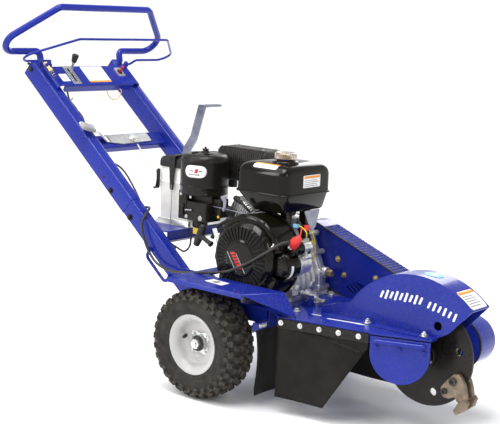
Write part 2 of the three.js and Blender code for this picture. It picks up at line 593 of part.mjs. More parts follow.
// ---------- belt drive ----------
// Twin-groove pulley, profile as [radius, y].
function pulley(radius, [x, z], y, bore) {
  const floor = radius - 10;
  const profile = [
    [bore, 0], [radius, 0], [radius, 3], [floor, 4], [floor, 13], [radius, 14], [radius, 17],
    [floor, 18], [floor, 27], [radius, 28], [radius, 31], [bore, 31],
  ];
  return turned(profile, [x, z], y, 20);
}
const PULLEY_Y = 126;
piece("drive_pulley", join(
  pulley(DRIVE_R, CRANK, PULLEY_Y, 11.5),
  rodY(CRANK, 12, [PTO_Y + GAP, PULLEY_Y + 40], 16),
), BLACK_SATIN);
piece("driven_pulley", pulley(DRIVEN_R, CUTTER, PULLEY_Y, SHAFT_R + 0.5), BLACK_SATIN);
for (const [i, y] of [[1, PULLEY_Y + 4.5], [2, PULLEY_Y + 18.5]]) {
  const depth = 8;
  const inner = loopOutline(CRANK, DRIVE_R - depth, CUTTER, DRIVEN_R - depth, 10);
  const outer = loopOutline(CRANK, DRIVE_R + 1, CUTTER, DRIVEN_R + 1, 10);
  piece("drive_belt_" + i, plateXZ(outer, [y, y + 8], [inner.reverse()]), RUBBER);
}

// Guard: a deep cover over the belts, closed on the outside, on a back plate with an edge trim.
const guardOutline = loopOutline(CRANK, GUARD_R[0], CUTTER, GUARD_R[1], 10);
const guardInside = loopOutline(CRANK, GUARD_R[0] - SHEET, CUTTER, GUARD_R[1] - SHEET, 10);
const backOutline = loopOutline(CRANK, GUARD_R[0] + 4, CUTTER, GUARD_R[1] + 4, 10);
piece("belt_guard_back", plateXZ(backOutline, [GUARD_Y[0], GUARD_Y[0] + SHEET],
  [circle(CRANK, 22, 16), circle(CUTTER, 22, 16)]), BLUE);
function beltGuard() {
  const shell = plateXZ(guardOutline, [GUARD_Y[0] + SHEET + GAP, GUARD_Y[1]]);
  const hollow = plateXZ(guardInside, [GUARD_Y[0], GUARD_Y[1] - SHEET]);
  return cut(shell, hollow);
}
piece("belt_guard", beltGuard(), BLUE);

// ---------- cutter ----------
const shaftEnds = [-146, PULLEY_Y + 38];
piece("cutter_shaft", rodY(CUTTER, SHAFT_R, shaftEnds, 20), STEEL);
const boltHoles = [0, 1, 2, 3].map((i) => {
  const t = THREE.MathUtils.degToRad(15 + 90 * i);
  return rodY([CUTTER[0] + 104 * Math.cos(t), CUTTER[1] + 104 * Math.sin(t)], 11, [DISC_Y - 10, DISC_Y + 10], 10);
});
piece("cutter_disc", cut(
  join(
    rodY(CUTTER, DISC_R, [DISC_Y - DISC_T / 2, DISC_Y + DISC_T / 2], 40),
    rodY(CUTTER, 34, [DISC_Y - 20, DISC_Y + 20], 24),
  ),
  rodY(CUTTER, SHAFT_R + 0.4, [DISC_Y - 30, DISC_Y + 30], 20),
  ...boltHoles,
), BLACK_SATIN);

// Tooth: a two-lobed holder bolted on the disc's face whose carbide tip stands out past the rim.
function tooth(face) {
  const inY = face * (DISC_T / 2 + GAP);
  const outY = face * (DISC_T / 2 + GAP + 14);
  const ys = [Math.min(inY, outY), Math.max(inY, outY)];
  const holder = plateXZ([
    [92, -24], [100, -36], [116, -40], [130, -31], [139, -13], [150, -17], [166, -14], [168, 9], [151, 25], [135, 36],
    [120, 42], [106, 43], [96, 32], [92, 0],
  ], ys);
  const tipY = face > 0 ? [ys[0], ys[1] + 8] : [ys[0] - 8, ys[1]];
  const tip = plateXZ([[165, -48], [179, -43], [185, -17], [179, 6], [167, 8], [160, -14]], tipY);
  return join(holder, tip);
}
const TEETH = [[-37, -1], [-34, 1], [143, -1], [146, 1]]; // [angle, side of the disc]
TEETH.forEach(([angle, face], i) => {
  const g = tooth(face).rotateY(-THREE.MathUtils.degToRad(angle)).translate(CUTTER[0], DISC_Y, CUTTER[1]);
  piece("tooth_" + (i + 1), g, TOOTH_STEEL);
});

// Flanged bearings bolted to the deck's hanger plates, either side of the disc.
for (const [side, y, inward] of HANGERS) {
  const ys = [y + inward * 3.3, y + inward * 9, y + inward * 18];
  const span = (a, b) => [Math.min(a, b), Math.max(a, b)];
  piece("bearing_" + side, cut(
    join(rodY(CUTTER, 30, span(ys[0], ys[2]), 20), rodY(CUTTER, 40, span(ys[0], ys[1]), 6)),
    rodY(CUTTER, SHAFT_R + 0.5, [y - 40, y + 40], 20),
  ), BLACK_SATIN);
}

// Housing over the disc: two cheek plates and a rolled top strip, open below and in front.
function housing() {
  const [y0, y1] = HOUSING_Y;
  const from = 47;
  const back = 180 - THREE.MathUtils.radToDeg(Math.asin((330 - HOUSING_C[1]) / HOUSING_R));
  const foot = DECK_TOP + GAP;
  const front = [[673, foot], [709, 304]];
  const cheek = [[290, foot], ...front, ...arc(HOUSING_C, HOUSING_R, from, back, 16), [290, foot + 16]];
  const near = cut(plateXZ(cheek, [y0, y0 + SHEET]), rodY([673, 317], 12, [y0 - 5, y0 + 9], 12));
  const far = plateXZ(cheek, [y1 - SHEET, y1]);
  const tail = [290, foot + 16];
  const band = plateXZ([
    ...arc(HOUSING_C, HOUSING_R, from, back, 16), tail, [tail[0], tail[1] - SHEET - 1],
    ...arc(HOUSING_C, HOUSING_R - SHEET, back, from, 16),
  ], [y0, y1]);
  const flange = block([320, 673], [y0 - 26, y0 + 1], [foot, foot + SHEET]);
  const rearFloor = block([290, 340], [y0, y1], [foot, foot + SHEET]);
  return join(near, far, band, flange, rearFloor);
}
piece("cutter_housing", housing(), BLUE);

// Half-round side guard hanging from the deck's front right edge.
function sideGuard() {
  const [a, b] = [DECK_EDGE[1], DECK_EDGE[2]];
  const length = Math.hypot(b[0] - a[0], b[1] - a[1]);
  const r = length / 2 - 1;
  const top = DECK_TOP - 8;
  const dip = 42;
  const outline = [[1, top], ...arc([length / 2, top - dip], r, 180, 360, 16), [length - 1, top]];
  const plate = plateXZ(outline, [-3.3, -GAP]);
  const rib = softBlock([18, length - 18], [-9, -3], [top - 20, top - 6], 2.5);
  return join(plate, rib).rotateZ(Math.atan2(b[1] - a[1], b[0] - a[0])).translate(a[0], a[1], 0);
}
piece("side_guard", sideGuard(), BLUE);

// ---------- rubber skirts ----------
const skirtTop = DECK_TOP - 3;
const skirtLow = 48;
function mainSkirt() {
  const [a, b] = DECK_EDGE;
  const length = Math.hypot(b[0] - a[0], b[1] - a[1]);
  const outline = [[2, skirtLow], [150, skirtLow + 6], [length - 14, 226], [length - 4, skirtTop], [2, skirtTop]];
  return plateXZ(outline, [-4.3, -GAP]).rotateZ(Math.atan2(b[1] - a[1], b[0] - a[0])).translate(a[0], a[1], 0);
}
piece("skirt_right", mainSkirt(), RUBBER);
const [edgeA, edgeB] = DECK_EDGE;
piece("skirt_clamp", edgePlate(edgeA, edgeB, -7.6, 3, [DECK_TOP - 29, DECK_TOP - 4]), BLACK_SATIN);
const rearFace = SKIRT_BAR_X[0] - GAP;
piece("skirt_rear", block([rearFace - 4, rearFace], [-264, 84], [skirtLow - 10, 254]), RUBBER);
piece("skirt_left", block([250, 470], [84, 88], [skirtLow + 12, DECK_TOP - DECK_T - GAP]), RUBBER);

// ---------- cables ----------
// Points along the rails are given as (down the slope, across, off the rails).
const [RX, RZ] = RAIL_PASS;
const onRail = (down, y, off) => [
  RX + down * Math.cos(RAIL_TILT) + off * Math.sin(RAIL_TILT), y,
  RZ - down * Math.sin(RAIL_TILT) + off * Math.cos(RAIL_TILT),
];
// From the throttle lever under the panel, down the right rail and forward to the carburettor.
piece("throttle_cable", cable([
  onRail(-284, -97, 8), onRail(-262, -108, 0), onRail(-200, -136, 6), onRail(-120, -144, 16),
  onRail(-60, -145, -22), onRail(-10, -145, -26), onRail(40, -144, -8), onRail(110, -142, 24),
  onRail(190, -143, 20), onRail(262, -145, 4), [-336, -145, 450], [-288, -141, 449], [-254, -134, 436],
  [-234, -126, 418], [-217, -120, 424], [-212, -118, 446],
], 3, 40), BLACK_SATIN);
// From the console down the same rail, over it at the clip and round the recoil starter to the
// starter motor's terminal.
piece("wiring_harness", cable([
  onRail(-270, -150, 8), onRail(-220, -153, 16), onRail(-150, -153.5, 22), onRail(-60, -154, -26),
  onRail(0, -154, -26), onRail(60, -154, -6), onRail(160, -153.5, 2), onRail(262, -154, 12), onRail(284, -156, 32),
  onRail(298, -170, 43), onRail(310, -190, 44), onRail(324, -208, 34), onRail(338, -212, 12), [-306, -213, 398], [-266, -214, 362], [-200, -222, 352],
  [-130, -232, 356], [-40, -240, 362], [50, -244, 378], [120, -242, 408], [176, -232, 444], [214, -204, 474],
  [SOLENOID[0] + 2, -186, SOLENOID[1] + 14], [SOLENOID[0], -166, SOLENOID[1] + 4],
], 4, 64), BLACK_SATIN);

export default machine;
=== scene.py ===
"""Looks of the walk-behind stump grinder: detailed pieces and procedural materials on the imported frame.

Lengths are millimetres in the machine's frame (+X forward, +Y to its left, +Z up from the ground) and
turn into metres when a piece is made.
"""
import math
import random

import bmesh
import bpy
from mathutils import Matrix, Quaternion, Vector
from mathutils.geometry import delaunay_2d_cdt


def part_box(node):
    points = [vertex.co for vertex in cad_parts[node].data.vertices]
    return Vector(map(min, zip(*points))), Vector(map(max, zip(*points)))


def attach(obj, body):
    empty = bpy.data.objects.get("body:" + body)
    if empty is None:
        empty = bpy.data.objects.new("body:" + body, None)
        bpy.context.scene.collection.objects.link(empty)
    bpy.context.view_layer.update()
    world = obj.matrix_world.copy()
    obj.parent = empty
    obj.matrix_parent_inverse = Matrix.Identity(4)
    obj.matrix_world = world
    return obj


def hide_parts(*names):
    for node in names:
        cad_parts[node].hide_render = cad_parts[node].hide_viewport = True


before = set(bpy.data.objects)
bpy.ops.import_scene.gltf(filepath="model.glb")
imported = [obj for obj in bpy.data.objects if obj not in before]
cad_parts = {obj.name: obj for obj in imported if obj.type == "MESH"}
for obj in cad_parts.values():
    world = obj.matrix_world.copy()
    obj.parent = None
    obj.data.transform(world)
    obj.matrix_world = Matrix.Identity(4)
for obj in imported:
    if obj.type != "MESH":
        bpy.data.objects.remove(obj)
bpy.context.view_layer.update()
MM = 0.001
SIDES = (("right", -1), ("left", 1))

# ---------- dimensions of the CAD part, heights from the ground ----------
RAIL_TILT = math.radians(39.9)
RAIL_PASS = Vector((-600, 0, 651))  # a point on the rails' centre line
RAIL_Y = 180
RAIL_SIZE = (40, 62)
RAIL_SPAN = (-382, 245, 585)  # top, splice and foot, measured down the slope
AXLE_Z = 160
WHEEL_Y = 283
CRANK = Vector((75, 0, 410))
CUTTER = Vector((620, 0, 217))
DECK_TOP = 278
SHELF_TOP = 345
DECK_EDGE = [Vector((246, -250, 0)), Vector((518, -194, 0)), Vector((673, -136, 0))]
HOUSING_C = (600, 183)
HOUSING_R = 254
HOUSING_Y = (-110, -20)
GUARD_R = (77, 68)
PANEL_N = 46
STARTER = Vector((199, 0, 402))
SOLENOID = Vector((217, 0, 452))
RAIL = Matrix.Translation(RAIL_PASS) @ Matrix.Rotation(RAIL_TILT, 4, "Y")


def on_rail(down, y, off):
    """A point given down the rails' slope, across, and off their centre line."""
    return RAIL @ Vector((down, y, off))


def span(node):
    """A CAD node's lowest and highest corner, in millimetres."""
    low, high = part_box(node)
    return low / MM, high / MM


def along(axis, origin):
    """The matrix that lays +Z along an axis through a point."""
    turn = Vector((0, 0, 1)).rotation_difference(Vector(axis).normalized())
    return Matrix.Translation(Vector(origin)) @ turn.to_matrix().to_4x4()


# ---------- outlines and paths ----------
def arc(centre, radius, start, end, steps):
    """Points on an arc in a plane, from one angle in degrees to another."""
    angles = [math.radians(start + (end - start) * i / steps) for i in range(steps + 1)]
    return [(centre[0] + radius * math.cos(a), centre[1] + radius * math.sin(a)) for a in angles]


def circle(centre, radius, steps=32):
    return arc(centre, radius, 0, 360 - 360 / steps, steps - 1)


def bent(corners, radius, steps=6, closed=False):
    """A path or outline whose corners are turned into round bends."""
    points = [Vector((*c, 0)) if len(c) == 2 else Vector(c) for c in corners]
    made = []
    for i, p in enumerate(points):
        if not closed and i in (0, len(points) - 1):
            made.append(p)
            continue
        r = radius[i - 1] if isinstance(radius, (list, tuple)) else radius
        back = points[i - 1] - p
        on = points[(i + 1) % len(points)] - p
        half = back.angle(on) / 2
        if r <= 0 or math.pi / 2 - half < 0.02:
            made.append(p)
            continue
        reach = min(r / math.tan(half), 0.49 * back.length, 0.49 * on.length)
        towards = (back.normalized() + on.normalized()).normalized()
        centre = p + towards * reach / math.cos(half)
        first = p + back.normalized() * reach - centre
        last = p + on.normalized() * reach - centre
        for k in range(steps + 1):
            made.append(centre + Quaternion(first.cross(last), first.angle(last) * k / steps) @ first)
    return made


def rounded(outline, radius, steps=5):
    """A closed flat outline with round corners, as pairs."""
    return [(p.x, p.y) for p in bent(outline, radius, steps, closed=True)]


def rounded_rect(width, height, radius, steps=5):
    w, h = width / 2, height / 2
    return rounded([(-w, -h), (w, -h), (w, h), (-w, h)], radius, steps)


def belt_outline(r0, r1, steps=20):
    """The outline round the crank and the cutter shaft, in the XZ plane."""
    a = (CRANK.x, CRANK.z)
    b = (CUTTER.x, CUTTER.z)
    run = math.hypot(b[0] - a[0], b[1] - a[1])
    slope = math.degrees(math.atan2(b[1] - a[1], b[0] - a[0]))
    lean = math.degrees(math.asin((r1 - r0) / run))
    up = slope + 90 + lean
    down = slope - 90 - lean
    return arc(b, r1, down, up, steps) + arc(a, r0, up, down + 360, steps)


# ---------- shapes ----------
PLANES = {
    "xz": lambda u, v, w: (u, w, v),
    "xy": lambda u, v, w: (u, v, w),
    "yz": lambda u, v, w: (w, u, v),
}


class Shape:
    """Closed shells drawn in millimetres, which become one piece."""

    def __init__(self, at=None):
        self.bm = bmesh.new()
        self.at = at or Matrix.Identity(4)

    def place(self, verts, at):
        bmesh.ops.transform(self.bm, matrix=self.at @ at if at else self.at, verts=verts)

    def loft(self, rings, at=None, wrap=False):
        """Rings of points, all as long, skinned in order."""
        rows = [[self.bm.verts.new(p) for p in ring] for ring in rings]
        count = len(rows[0])
        pairs = list(zip(rows, rows[1:])) + ([(rows[-1], rows[0])] if wrap else [])
        for a, b in pairs:
            for i in range(count):
                j = (i + 1) % count
                self.bm.faces.new((a[i], a[j], b[j], b[i]))
        if not wrap:
            self.bm.faces.new(rows[0][::-1])
            self.bm.faces.new(rows[-1])
        self.place([vert for row in rows for vert in row], at)
        return self

    def box(self, low, high, at=None):
        (x0, y0, z0), (x1, y1, z1) = low, high
        corners = [(x0, y0), (x1, y0), (x1, y1), (x0, y1)]
        return self.loft([[(x, y, z) for x, y in corners] for z in (z0, z1)], at)

    def prism(self, outline, low, high, plane="xz", at=None):
        lay = PLANES[plane]
        return self.loft([[lay(u, v, w) for u, v in outline] for w in (low, high)], at)

    def plate(self, outline, holes, low, high, plane="xz", at=None):
        """A flat plate with holes."""
        loops = [outline, *holes]
        points = [Vector(p) for loop in loops for p in loop]
        faces = []
        start = 0
        for loop in loops:
            faces.append(list(range(start, start + len(loop))))
            start += len(loop)
        flat = delaunay_2d_cdt(points, [], faces, 5, 1e-4)
        lay = PLANES[plane]
        levels = [[self.bm.verts.new(lay(p.x, p.y, w)) for p in flat[0]] for w in (low, high)]
        for level, flip in zip(levels, (True, False)):
            for face in flat[2]:
                self.bm.faces.new([level[i] for i in (face[::-1] if flip else face)])
        sides = {}
        for face in flat[2]:
            for a, b in zip(face, face[1:] + face[:1]):
                sides[(a, b)] = sides.get((b, a), 0) + 1
        for a, b in sides:
            if (b, a) not in sides:
                self.bm.faces.new((levels[0][a], levels[0][b], levels[1][b], levels[1][a]))
        self.place([vert for level in levels for vert in level], at)
        return self

    def lathe(self, profile, at, sides=48, closed=False):
        """A profile of (radius, height) turned about the local Z axis."""
        rows = []
        for radius, height in profile:
            if radius < 1e-6:
                rows.append([self.bm.verts.new((0, 0, height))])
                continue
            turn = [2 * math.pi * k / sides for k in range(sides)]
            rows.append([self.bm.verts.new((radius * math.cos(t), radius * math.sin(t),
                                            height)) for t in turn])
        pairs = list(zip(rows, rows[1:])) + ([(rows[-1], rows[0])] if closed else [])
        for a, b in pairs:
            for k in range(sides):
                j = (k + 1) % sides
                corners = [a[k % len(a)], a[j % len(a)], b[j % len(b)], b[k % len(b)]]
                self.bm.faces.new(list(dict.fromkeys(corners)))
        if not closed:
            for row in (rows[0], rows[-1]):
                if len(row) > 1:
                    self.bm.faces.new(row)
        self.place([vert for row in rows for vert in row], at)
        return self

    def rod(self, a, b, radius, sides=24, chamfer=0.8, end_radius=None, at=None):
        """A round rod between two points, with broken edges."""
        a, b = Vector(a), Vector(b)
        length = (b - a).length
        r1 = radius if end_radius is None else end_radius
        profile = [(radius - chamfer, 0), (radius, chamfer), (r1, length - chamfer), (r1 - chamfer, length)]
        return self.lathe(profile, (at @ along(b - a, a)) if at else along(b - a, a), sides)

    def tube(self, path, radius, sides=14, at=None, wrap=False):
        """A round section swept along a path without twisting. radius may be one for each point."""
        points = [Vector(p) for p in path]
        rings = []
        normal = None
        for i, p in enumerate(points):
            before = points[i - 1] if i or wrap else p
            after = points[(i + 1) % len(points)] if i < len(points) - 1 or wrap else p
            tangent = (after - before).normalized()
            if normal is None:
                normal = tangent.orthogonal().normalized()
            normal = (normal - tangent * normal.dot(tangent)).normalized()
            across = tangent.cross(normal)
            r = radius[i] if isinstance(radius, (list, tuple)) else radius
            turn = [2 * math.pi * k / sides for k in range(sides)]
            rings.append([p + normal * r * math.cos(t) + across * r * math.sin(t) for t in turn])
        return self.loft(rings, at, wrap=wrap)

    def strip(self, path, width_axis, width, thickness, at=None):
        """A flat bar bent along a path; width_axis stays across it."""
        points = [Vector(p) for p in path]
        across = Vector(width_axis).normalized() * width / 2
        rings = []
        for i, p in enumerate(points):
            tangent = (points[min(i + 1, len(points) - 1)] - points[max(i - 1, 0)]).normalized()
            up = tangent.cross(across).normalized() * thickness / 2
            rings.append([p - across - up, p + across - up, p + across + up, p - across + up])
        return self.loft(rings, at)

    def bolt(self, at_point, axis, flats=13, height=6, washer=True, at=None):
        """A hexagon head on a washer, standing out along an axis."""
        frame_at = (at @ along(axis, at_point)) if at else along(axis, at_point)
        base = 0
        if washer:
            r = flats * 0.92
            self.lathe([(r - 0.5, 0), (r, 0.5), (r, 1.3), (r - 0.5, 1.8)], frame_at, 24)
            base = 1.6
        r = flats / math.sqrt(3)
        self.lathe([(r, base), (r, base + height - 0.9), (r * 0.87, base + height)], frame_at, 6)
        return self.lathe([(flats * 0.36, base + height - 0.2), (flats * 0.33, base + height + 0.5)],
                          frame_at, 18)

    def socket(self, at_point, axis, radius=8, height=7, at=None):
        """A socket-head screw with its hexagon recess."""
        frame_at = (at @ along(axis, at_point)) if at else along(axis, at_point)
        inner = radius * 0.52
        return self.lathe([
            (radius, 0), (radius, height - 1), (radius - 1, height), (inner + 0.6, height),
            (inner, height - 0.6), (inner, height - 4.5), (0, height - 5),
        ], frame_at, 24)

    def sheet(self, faces, at=None):
        """Flat faces that share their corners; the piece gives them a thickness and bends."""
        verts = {}
        for face in faces:
            for p in face:
                verts.setdefault(tuple(round(c, 3) for c in p), None)
        for key in verts:
            verts[key] = self.bm.verts.new(key)
        for face in faces:
            self.bm.faces.new([verts[tuple(round(c, 3) for c in p)] for p in face])
        self.place(list(verts.values()), at)
        return self

    def piece(self, name, look, body="chassis", replaces=(), bevel=0, segments=2, smooth=38,
              fold=0, thickness=0, limit=35):
        """Ends the drawing: one object, in metres, riding on a body."""
        self.bm.normal_update()
        if not thickness:
            bmesh.ops.recalc_face_normals(self.bm, faces=self.bm.faces)
        bmesh.ops.scale(self.bm, vec=(MM, MM, MM), verts=self.bm.verts)
        mesh = bpy.data.meshes.new(name)
        self.bm.to_mesh(mesh)
        self.bm.free()
        mesh.polygons.foreach_set("use_smooth", [True] * len(mesh.polygons))
        mesh.set_sharp_from_angle(angle=math.radians(smooth))
        obj = bpy.data.objects.new(name, mesh)
        bpy.context.scene.collection.objects.link(obj)
        if thickness:
            bend_edges(obj, "fold", fold, 3, 20)
            wall = obj.modifiers.new("wall", "SOLIDIFY")
            wall.thickness = thickness * MM
            wall.offset = -1
            wall.use_even_offset = True
        if bevel:
            bend_edges(obj, "edges", bevel, segments, limit)
        finish(obj, look, body, replaces)
        return obj


def bend_edges(obj, name, width, segments, limit):
    edge = obj.modifiers.new(name, "BEVEL")
    edge.width = width * MM
    edge.segments = segments
    edge.limit_method = "ANGLE"
    edge.angle_limit = math.radians(limit)
    edge.miter_outer = "MITER_ARC"
    edge.harden_normals = name == "edges"


def finish(obj, look, body, replaces=()):
    material, slot = LOOKS[look]
    obj.data.materials.append(material)
    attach(obj, body)
    if replaces:
        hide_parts(*([replaces] if isinstance(replaces, str) else replaces))


def patch(name, look, point, body="chassis", across=16, up=8, corner=0.0, thickness=0.25):
    """A thin label that lies on a surface: point(u, v) gives the surface for u and v from 0 to 1."""
    bm = bmesh.new()
    rows = []
    wide, tall = corner if isinstance(corner, tuple) else (corner, corner)
    for j in range(up + 1):
        v = j / up
        edge = min(v, 1 - v)
        pull = wide * (1 - math.sqrt(max(0, 1 - (1 - min(edge / tall, 1)) ** 2))) if tall else 0
        rows.append([bm.verts.new(point(pull + (1 - 2 * pull) * i / across, v)) for i in range(across + 1)])
    for a, b in zip(rows, rows[1:]):
        for i in range(across):
            bm.faces.new((a[i], a[i + 1], b[i + 1], b[i]))
    shape = Shape()
    shape.bm.free()
    shape.bm = bm
    return shape.piece(name, look, body, thickness=thickness)


# ---------- materials ----------
class Surface:
    """A node material: colour, roughness and bump come from layered noise in the piece's own space."""

    def __init__(self, name, roughness, metallic=0.0, coat=0.0, coat_roughness=0.08, specular=0.5):
        self.material = bpy.data.materials.new(name)
        self.material.use_nodes = True
        self.nodes = self.material.node_tree.nodes
        self.links = self.material.node_tree.links
        self.shader = self.nodes["Principled BSDF"]
        self.shader.inputs["Roughness"].default_value = roughness
        self.shader.inputs["Metallic"].default_value = metallic
        self.shader.inputs["Coat Weight"].default_value = coat
        self.shader.inputs["Coat Roughness"].default_value = coat_roughness
        self.shader.inputs["Specular IOR Level"].default_value = specular
        self.space = self.nodes.new("ShaderNodeTexCoord").outputs["Object"]
        self.normal = None

    def mapped(self, scale):
        """The piece's space stretched by three factors."""
        node = self.nodes.new("ShaderNodeMapping")
        node.inputs["Scale"].default_value = scale
        self.links.new(self.space, node.inputs["Vector"])
        return node.outputs["Vector"]

    def noise(self, scale, detail=4, rough=0.55, stretch=None, low=0.35, high=0.65):
        """Noise spread out to run from 0 to 1."""
        node = self.nodes.new("ShaderNodeTexNoise")
        node.inputs["Scale"].default_value = scale
        node.inputs["Detail"].default_value = detail
        node.inputs["Roughness"].default_value = rough
        self.links.new(self.mapped(stretch) if stretch else self.space, node.inputs["Vector"])
        return self.scaled(node.outputs["Fac"], low, high, 0, 1)

    def cells(self, scale, stretch=None):
        """The distance to the nearest of scattered points."""
        node = self.nodes.new("ShaderNodeTexVoronoi")
        node.inputs["Scale"].default_value = scale
        self.links.new(self.mapped(stretch) if stretch else self.space, node.inputs["Vector"])
        return node.outputs["Distance"]

    def edges(self, low=0.52, high=0.62):
        """1 along the worn outer edges of a bevelled piece."""
        return self.scaled(self.nodes.new("ShaderNodeNewGeometry").outputs["Pointiness"], low, high, 0, 1)

    def scaled(self, socket, a, b, c, d):
        node = self.nodes.new("ShaderNodeMapRange")
        for slot, value in zip(("From Min", "From Max", "To Min", "To Max"), (a, b, c, d)):
            node.inputs[slot].default_value = value
        self.links.new(socket, node.inputs["Value"])
        return node.outputs["Result"]

    def times(self, a, b):
        node = self.nodes.new("ShaderNodeMath")
        node.operation = "MULTIPLY"
        for socket, value in zip(node.inputs, (a, b)):
            if isinstance(value, (int, float)):
                socket.default_value = value
            else:
                self.links.new(value, socket)
        return node.outputs["Value"]

    def mix(self, factor, a, b):
        node = self.nodes.new("ShaderNodeMix")
        node.data_type = "RGBA"
        self.links.new(factor, node.inputs["Factor"])
        for socket, value in ((node.inputs[6], a), (node.inputs[7], b)):
            if isinstance(value, tuple):
                socket.default_value = (*value, 1)
            else:
                self.links.new(value, socket)
        return node.outputs[2]

    def colour(self, socket):
        self.links.new(socket, self.shader.inputs["Base Color"])
        return self

    def rough(self, socket, low, high):
        self.links.new(self.scaled(socket, 0, 1, low, high), self.shader.inputs["Roughness"])
        return self

    def bump(self, height, strength, distance):
        node = self.nodes.new("ShaderNodeBump")
        node.inputs["Strength"].default_value = strength
        node.inputs["Distance"].default_value = distance * MM
        self.links.new(height, node.inputs["Height"])
        if self.normal:
            self.links.new(self.normal, node.inputs["Normal"])
        self.normal = node.outputs["Normal"]
        self.links.new(self.normal, self.shader.inputs["Normal"])
        return self


def enamel(name, deep, lit, chip, roughness=0.22, coat=0.6, specular=0.5):
    """Sprayed paint: slight colour drift, orange peel, dulled patches and worn edges."""
    s = Surface(name, roughness, coat=coat, specular=specular)
    drift = s.mix(s.noise(4, 3), deep, lit)
    scuffs = s.times(s.noise(160, 6, 0.7, low=0.5, high=0.6), s.edges())
    s.colour(s.mix(scuffs, drift, chip))
    s.rough(s.noise(14, 5, 0.6), roughness * 0.7, roughness * 1.5)
    return s.bump(s.noise(420, 2), 0.08, 0.25).material


def moulded(name, dark, light, roughness=0.5, grain=900, strength=0.15, specular=0.3):
    """Moulded plastic or rubber: fine grain, faint dust in broad patches."""
    s = Surface(name, roughness, specular=specular)
    s.colour(s.mix(s.noise(22, 5, 0.65), dark, light))
    s.rough(s.noise(60, 4), roughness * 0.85, min(1.0, roughness * 1.2))
    return s.bump(s.noise(grain, 3), strength, 0.3).material


def machined(name, dark, light, roughness=0.3, stretch=(1, 1, 1), grain=500, strength=0.1):
    """Bare metal with fine brushed or ground marks."""
    s = Surface(name, roughness, metallic=1.0)
    marks = s.noise(grain, 4, 0.6, stretch=stretch)
    s.colour(s.mix(s.noise(18, 5, 0.6), dark, light))
    s.rough(marks, roughness * 0.75, roughness * 1.35)
    return s.bump(marks, strength, 0.15).material


def castings(name, dark, light, roughness=0.42, metallic=0.85, strength=0.35):
    """Sand-cast or die-cast metal: pebbled skin with darker pits."""
    s = Surface(name, roughness, metallic=metallic)
    pits = s.scaled(s.cells(520), 0.0, 0.5, 0, 1)
    s.colour(s.mix(s.times(pits, s.noise(26, 5, 0.7, low=0.25, high=0.6)), dark, light))
    s.rough(s.noise(90, 4), roughness * 0.8, roughness * 1.3)
    s.bump(s.noise(240, 5, 0.6), strength, 0.5)
    return s.bump(pits, strength * 0.4, 0.2).material


def treaded(name):
    """Tyre rubber: grey-brown bloom on the skin, lighter in patches along the knobs' edges."""
    s = Surface(name, 0.78, specular=0.25)
    bloom = s.mix(s.noise(34, 6, 0.7), (0.012, 0.011, 0.009), (0.034, 0.029, 0.024))
    s.colour(s.mix(s.times(s.edges(0.5, 0.6), s.noise(90, 3)), bloom, (0.070, 0.060, 0.050)))
    s.rough(s.noise(50, 4), 0.62, 0.9)
    s.bump(s.noise(700, 3), 0.25, 0.4)
    return s.bump(s.noise(60, 4), 0.2, 0.8).material


def sheeted(name):
    """Flexible black sheet: smooth skin with faint rolling marks and dust in broad patches."""
    s = Surface(name, 0.42, specular=0.15)
    s.colour(s.mix(s.noise(7, 6, 0.7), (0.005, 0.004, 0.004), (0.013, 0.012, 0.010)))
    s.rough(s.noise(30, 5, 0.6, stretch=(1, 1, 0.2)), 0.34, 0.62)
    s.bump(s.noise(60, 3, stretch=(1, 1, 0.15)), 0.15, 0.6)
    return s.bump(s.noise(800, 2), 0.12, 0.15).material


def tempered(name):
    """Bright cap with heat-tinted brown and straw patches."""
    s = Surface(name, 0.25, metallic=1.0)
    tint = s.mix(s.noise(45, 4), (0.30, 0.22, 0.14), (0.74, 0.70, 0.64))
    s.colour(tint)
    s.rough(s.noise(200, 3), 0.16, 0.4)
    return s.bump(s.noise(500, 3), 0.1, 0.15).material


